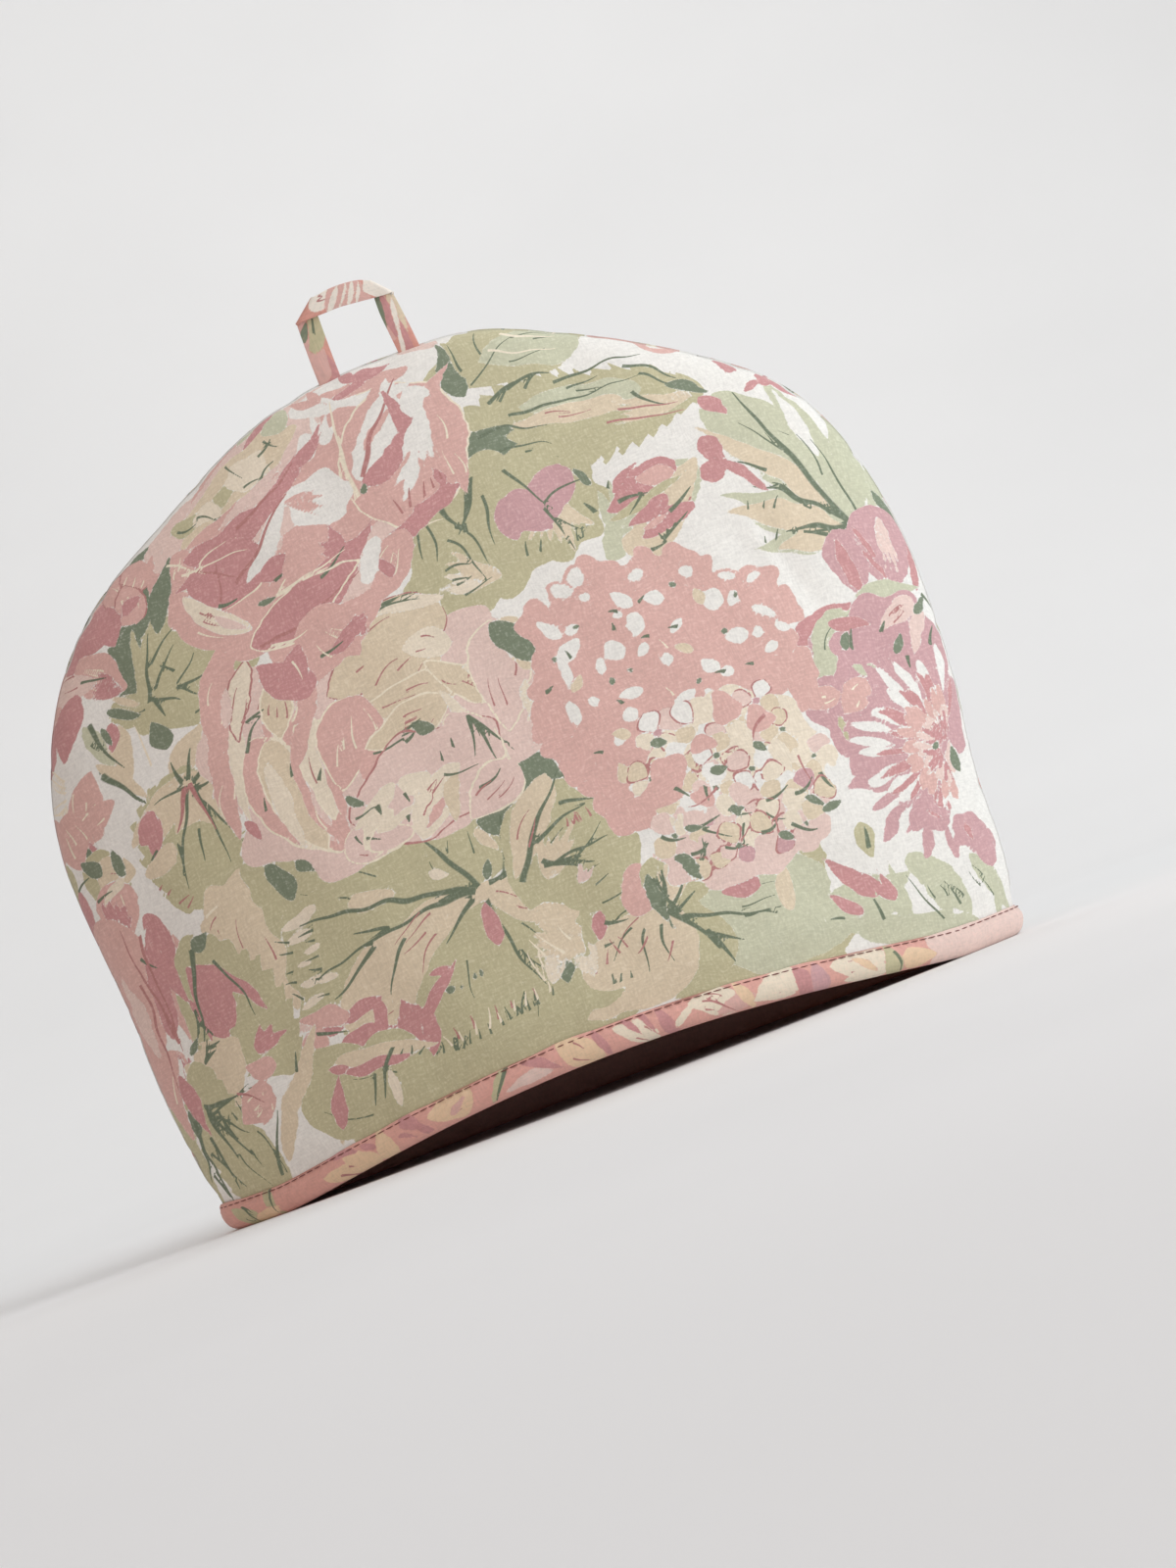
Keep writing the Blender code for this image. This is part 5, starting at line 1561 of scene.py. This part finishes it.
BINDING_PRINT = (  # kind, ink, place across the front and down the strip, and the rest in mm
    ("blob", "rose_pale", (140, 6, 0, 72, 40)),
    ("petal", "sage", (-141, 3, 40, 16, 9, 0.1)),
    ("blade", "sage", (-128, -1, 70, 14, 5, 0.1)),
    ("blade", "tan", (-136, 10, -10, 16, 4)),
    ("line", "line_green", (-126, 0, 80, 9, 1.4, 0.2), (-137, 3, 60, 8, 1.2, 0.3)),
    ("petal", "tan", (-106, 6, 16, 24, 9, 0.1), (-98, 2, 30, 16, 6)),
    ("blade", "rose_deep", (-103, 0, 10, 14, 3, 0.1), (-91, 2, 24, 9, 2.4)),
    ("petal", "tan", (-83, -1, 80, 15, 7, 0.1), (-65, 4, 0, 18, 13)),
    ("blob", "rose_deep", (-71, 3, 20, 8, 5, 5), (-67, 7, 70, 6, 3.5, 3)),
    ("blade", "rose_deep", (-77, 6, 10, 8, 2, 0.2)),
    ("blade", "rose", (-58, 8, -30, 10, 3)),
    ("blade", "sage", (-36, -1, 118, 15, 3.6, 0.1)),
    ("line", "line_green", (-35, -1, 118, 14, 1.6, 0.1)),
    ("petal", "rose_pale", (-38, 9, -14, 20, 5, 0.1)),
    ("blade", "rose_deep", (-31, 1, 20, 16, 3, 0.1)),
    ("petal", "tan", (-17, 1, 38, 17, 11)),
    ("blade", "rose_deep", (-4, 0, 70, 13, 3.4, 0.1)),
    ("petal", "cream", (3, 2, 30, 16, 8, 0.1)),
    ("blade", "rose_deep", (6, 0, 60, 9, 2.2), (11, 1, 60, 9, 2)),
    ("petal", "rose_deep", (16, 0, 56, 15, 5, 0.1)),
    ("blade", "cream", (22, 9, -36, 13, 3, 0.1)),
    ("petal", "cream", (28, 3, 8, 18, 10, 0.1)),
    ("petal", "rose", (37, 9, -20, 13, 6, 0.1)),
    ("blade", "tan", (44, 0, 62, 13, 4, 0.1)),
    ("petal", "cream", (48, 8, -14, 18, 9, 0.1), (54, 4, 0, 12, 9)),
    ("petal", "rose_deep", (65, 1, 68, 13, 7)),
    ("petal", "mauve", (71, 1, 80, 12, 7)),
    ("petal", "cream", (76, 4, 4, 22, 12), (80, 10, -6, 18, 7)),
    ("blade", "tan", (84, 2, 30, 12, 3, 0.1)),
    ("petal", "sage", (96, 0, 72, 14, 6, 0.1)),
    ("blade", "tan", (100, 6, 10, 14, 8)),
    ("line", "line_rose", (-100, 8, 20, 10, 1, 0.3), (34, 4, 20, 10, 1, 0.2)),
    ("line", "line_green", (98, 3, 60, 8, 1.2, 0.2)),
)

binding_cotton = printed_cotton("bias_cut_chintz", "#E0ABA0", tan="#E8CCAC")
binding, walked, girth = binding_mesh("hem_binding_strip", 5)
strip_cloth = Cloth(walked, girth, 6)
draw_binding(strip_cloth)
keep_print(binding.data, strip_cloth)
merge_ends(binding)
binding.data.materials.append(binding_cotton)
bpy.ops.object.shade_smooth()
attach(binding, "root")
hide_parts("hem_binding")


# ---------------------------------------------------------------------------
# The stitching that holds the binding down: one row of dark reddish brown thread
# right round, near the strip's upper edge, each stitch a short round float.
# ---------------------------------------------------------------------------

STITCH_LENGTH = 3.1
THREAD_THICKNESS = 0.42
STITCH_LEVEL = -0.42

sewing_thread = plain_cotton("spun_sewing_thread", "#7A4A46", 0.3 * MM)


def stitch_row(name):
    """Copies one stitch round the hem, each laid along the strip."""
    count = int(HEM_LENGTH / STITCH_PITCH)
    bpy.ops.mesh.primitive_uv_sphere_add(segments=8, ring_count=6, radius=0.5)
    stitch = bpy.context.object
    bpy.ops.object.shade_smooth()
    bpy.ops.object.mode_set(mode="EDIT")
    bpy.ops.transform.rotate(value=math.pi / 2, orient_axis="Y", center_override=(0, 0, 0))
    stretch = (STITCH_LENGTH * MM, THREAD_THICKNESS * MM, THREAD_THICKNESS * MM)
    bpy.ops.transform.resize(value=stretch, center_override=(0, 0, 0))
    bpy.ops.object.mode_set(mode="OBJECT")
    shape = points_of(stitch.data)
    copies = []
    for step in range(count):
        ends = (step + 0.5 + np.array([-STITCH_HALF, 0, STITCH_HALF])) * STITCH_PITCH
        turned = np.interp(ends, walk_length, walk_angles)
        level = np.full(3, STITCH_LEVEL * MM)
        a, middle, b = hem_place(turned, level, np.full(3, STITCH_HEIGHT * MM))
        along = (b - a) / np.linalg.norm(b - a)
        outwards = np.cross((0, 0, 1), along)
        upwards = np.cross(along, outwards)
        copy = stitch.copy()
        copy.data = stitch.data.copy()
        bpy.context.scene.collection.objects.link(copy)
        set_points(copy.data, middle + shape @ np.stack([along, outwards, upwards]))
        copies.append(copy)
    bpy.data.objects.remove(stitch, do_unlink=True)
    join_into(copies[0], copies[1:])
    copies[0].name = copies[0].data.name = name
    return copies[0]


stitches = stitch_row("hem_stitching")
stitches.data.materials.append(sewing_thread)
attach(stitches, "root")


# ---------------------------------------------------------------------------
# The hanging loop. One flat tape of the chintz, folded in half along its length
# and pressed. It is turned over on the slant at both upper corners, and its two
# ends are caught in the seam between the panels.
# ---------------------------------------------------------------------------

TAPE_ROWS = (  # from its left root over the loop: x and z of both edges, and its depth, in mm
    (-14.5, 256.2, -6.6, 256.2, 0.0),
    (-14.6, 264.0, -6.7, 264.0, 0.0),
    (-14.7, 272.0, -6.8, 272.2, 0.1),
    (-14.6, 280.0, -6.7, 280.6, 0.2),
    (-14.5, 285.4, -6.6, 291.4, 0.2),
    (-14.4, 286.0, -6.4, 292.5, -0.5),
    (-13.4, 286.1, -5.6, 292.6, -1.3),
    (-9.0, 286.2, -3.0, 293.0, -1.5),
    (-4.0, 286.3, -0.4, 293.4, -1.5),
    (1.0, 286.4, 3.2, 293.5, -1.6),
    (6.0, 286.0, 6.8, 293.3, -1.6),
    (11.0, 285.5, 10.6, 292.7, -1.5),
    (16.0, 285.0, 13.4, 291.6, -1.3),
    (19.8, 284.7, 14.4, 291.0, -1.2),
    (20.4, 284.5, 14.5, 290.6, -0.5),
    (20.6, 283.8, 14.2, 289.6, 0.2),
    (21.2, 279.0, 13.8, 280.4, 0.2),
    (22.0, 272.0, 14.4, 272.2, 0.1),
    (22.7, 264.0, 15.1, 264.0, 0.0),
    (22.9, 256.2, 15.3, 256.2, 0.0),
)
TAPE_COLUMNS = 10
TAPE_STEPS = 6  # rows of faces from one row above to the next
TAPE_STRIDE, TAPE_WIDTH = 4.2, 8  # mm of tape for each row above, and across it
TAPE_CUP, TAPE_SINK = 0.22, 0.1
TAPE_LAYER = 1.3
TAPE_EDGE_ROUNDING = 0.45


def tape_mesh(name):
    """The ribbon that the rows describe, thickened and with soft edges."""
    rows = np.array(TAPE_ROWS)
    ribbon = grid_of(name, TAPE_COLUMNS, TAPE_STEPS * (len(rows) - 1))
    flat = points_of(ribbon.data)
    along = (flat[:, 1] + 1) / 2 * (len(rows) - 1)
    across = (flat[:, 0] + 1) / 2
    left_x, left_z, right_x, right_z, depth = (eased(rows[:, k], along) for k in range(5))
    x = left_x + (right_x - left_x) * across
    z = left_z + (right_z - left_z) * across
    y = depth + TAPE_CUP * (2 * across - 1) ** 2 - TAPE_SINK
    set_points(ribbon.data, np.stack([x, y, z], axis=1) * MM)
    return ribbon, along * TAPE_STRIDE, across * TAPE_WIDTH


def eased(values, along):
    """A smooth curve through a row of values."""
    low = np.clip(np.floor(along).astype(int), 0, len(values) - 2)
    share = along - low
    padded = np.concatenate([[2 * values[0] - values[1]], values, [2 * values[-1] - values[-2]]])
    a, b, c, d = (padded[low + k] for k in range(4))
    slope_b, slope_c = (c - a) / 2, (d - b) / 2
    s2, s3 = share**2, share**3
    from_b = b * (2 * s3 - 3 * s2 + 1) + slope_b * (s3 - 2 * s2 + share)
    return from_b + c * (3 * s2 - 2 * s3) + slope_c * (s3 - s2)


TAPE_PRINT = (  # kind, ink, place along and across the tape, and the rest in mm
    ("blob", "rose_deep", (2, 4, 10, 13, 14, 3)),
    ("petal", "rose", (4, -1, 34, 10, 9)),
    ("blob", "sage", (14, 5, 70, 13, 9, 3)),
    ("petal", "rose", (9, -1, 24, 9, 5)),
    ("blade", "bottle", (12, -1, 60, 6, 3)),
    ("petal", "cream", (22, 7, -6, 17, 9)),
    ("blob", "rose", (41, 4, 0, 15, 18)),
    ("petal", "cream", (47, 4, 0, 13, 16)),
    ("petal", "rose", (58, 4, 6, 16, 12)),
    ("blade", "tan", (60, 0, 10, 14, 5)),
    ("blade", "rose_deep", (63, 6, -14, 18, 5, 0.1)),
    ("blade", "bottle", (57, 9, -6, 14, 6)),
    ("blade", "cream", (64, 1, 20, 13, 1.8, 0.1), (71, 4, 24, 10, 1.6, 0.1)),
    ("line", "line_green", (12, 5, 30, 5, 1.1)),
)
TAPE_STRIPES = (34, 37, 40, 43)


def draw_tape(cloth):
    """What falls in the tape: bits of leaf and petal, and a striped one on top."""
    paint(cloth, TAPE_PRINT)
    for along in TAPE_STRIPES:
        cloth.blade("cream", (along, -1), 62, 11, 1.7, 0.1, 0.5, 0.6)


tape_cotton = printed_cotton("folded_chintz_tape", "#D99F92", cream="#F0EADF")
loop, tape_along, tape_across = tape_mesh("hanging_loop_tape")
tape_cloth = Cloth(tape_along, tape_across, 8)
draw_tape(tape_cloth)
keep_print(loop.data, tape_cloth)
loop.data.materials.append(tape_cotton)
select_all(loop)
thicken = loop.modifiers.new("two_layers", "SOLIDIFY")
thicken.thickness = TAPE_LAYER * MM
thicken.offset = 0
bpy.ops.object.modifier_apply(modifier=thicken.name)
soften = loop.modifiers.new("pressed_edges", "BEVEL")
soften.width = TAPE_EDGE_ROUNDING * MM
soften.segments = 3
soften.limit_method = "ANGLE"
bpy.ops.object.modifier_apply(modifier=soften.name)
bpy.ops.object.shade_smooth()
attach(loop, "root")
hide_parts("hanging_loop")


# ---------------------------------------------------------------------------
# The studio: a pale seamless sheet under and behind the cosy, broad soft lights,
# and the camera, which is rolled so that the hem rises to the right.
# ---------------------------------------------------------------------------

FLOOR_WIDTH = 14.0
FLOOR_FRONT = 3.0
FLOOR_BACK = 0.6
SWEEP_RADIUS = 2.4
SWEEP_TOP = 3.0
SWEEP_STEPS = 48


def seamless():
    """A sheet of card: flat on the table, then swept up behind in one curve."""
    bpy.ops.mesh.primitive_plane_add(size=1, location=(0, 0, 0))
    sheet = bpy.context.object
    sheet.name = sheet.data.name = "seamless_card"
    centre = Vector((0, FLOOR_BACK, SWEEP_RADIUS))
    for v in sheet.data.vertices:
        v.co.x *= FLOOR_WIDTH
        v.co.y = -FLOOR_FRONT if v.co.y < 0 else FLOOR_BACK
    bpy.ops.object.mode_set(mode="EDIT")
    bpy.ops.mesh.select_all(action="DESELECT")
    bpy.ops.object.mode_set(mode="OBJECT")
    for edge in sheet.data.edges:
        edge.select = all(sheet.data.vertices[i].co.y > 0 for i in edge.vertices)
    bpy.ops.object.mode_set(mode="EDIT")
    bpy.ops.mesh.spin(
        steps=SWEEP_STEPS, angle=-math.pi / 2, center=centre, axis=(1, 0, 0), dupli=False
    )
    bpy.ops.mesh.extrude_edges_move(TRANSFORM_OT_translate={"value": (0, 0, SWEEP_TOP)})
    bpy.ops.object.mode_set(mode="OBJECT")
    bpy.ops.object.shade_smooth()
    return sheet


card = seamless()
# Uncoated card: no highlight, and a faint unevenness of tone.
card_paint, card_nodes, card_shader = new_finish("matt_card")
on_card = add(card_nodes, "TexCoord").outputs["Object"]
grain = add(card_nodes, "TexNoise", {"Scale": 3.0, "Detail": 2.0}, {"Vector": on_card})
tone = {"From Min": 0.3, "From Max": 0.7, "To Min": 0.985, "To Max": 1.015}
tone = add(card_nodes, "MapRange", tone, {"Value": grain.outputs["Fac"]}).outputs["Result"]
base = add(card_nodes, "RGB").outputs[0]
base.default_value = linear("#F1F2F3")
base = add(card_nodes, "VectorMath", {"operation": "SCALE"}, {0: base, "Scale": tone}).outputs[0]
card_nodes.links.new(base, card_shader.inputs["Base Color"])
card_shader.inputs["Roughness"].default_value = 0.95
card.data.materials.append(card_paint)


def soft_light(name, place, aim, size, power, colour):
    """A square soft box, pointed at the cosy."""
    lamp = bpy.data.lights.new(name, "AREA")
    lamp.shape = "SQUARE"
    lamp.size = size
    lamp.energy = power
    lamp.color = linear(colour)[:3]
    holder = bpy.data.objects.new(name, lamp)
    bpy.context.scene.collection.objects.link(holder)
    holder.location = place
    holder.rotation_euler = (Vector(aim) - Vector(place)).to_track_quat("-Z", "Y").to_euler()


CENTRE = (0, 0, 0.13)
soft_light("window_light", (1.5, -0.75, 0.75), CENTRE, 1.0, 17.0, "#FBFDFF")
soft_light("room_fill", (-1.6, -1.9, 0.9), CENTRE, 1.6, 5.8, "#FFB070")
soft_light("ceiling_light", (0.6, -0.9, 2.6), (0.6, -0.8, 0), 2.4, 20, "#FFFFFF")
soft_light("wall_light", (0.1, 1.0, 2.4), (0, 2.6, 0.9), 2.0, 25, "#FFFEFC")
world = bpy.data.worlds.new("pale_room")
bpy.context.scene.world = world
world.use_nodes = True
world.node_tree.nodes["Background"].inputs["Color"].default_value = linear("#F1F0EF")
world.node_tree.nodes["Background"].inputs["Strength"].default_value = 0.31
bpy.context.scene.view_settings.view_transform = "Standard"

ROLL = math.radians(20.75)
PICTURE_CENTRE = (0.0235, 0.1014)  # across and up
PICTURE_HEIGHT = 0.544  # how much of the object's height the picture takes in
SENSOR = 36.0

lens = bpy.data.cameras.new("camera")
lens.sensor_width = SENSOR
lens.lens = SENSOR * EYE_DISTANCE / PICTURE_HEIGHT
raised = PICTURE_CENTRE[1] - EYE_HEIGHT
lens.shift_x = -raised * math.sin(ROLL) / PICTURE_HEIGHT
lens.shift_y = raised * math.cos(ROLL) / PICTURE_HEIGHT
camera = bpy.data.objects.new("camera", lens)
bpy.context.scene.collection.objects.link(camera)
camera.location = (PICTURE_CENTRE[0], -EYE_DISTANCE, EYE_HEIGHT)
looking = Matrix.Rotation(math.pi / 2, 3, "X") @ Matrix.Rotation(-ROLL, 3, "Z")
camera.rotation_euler = looking.to_euler()
bpy.context.scene.camera = camera
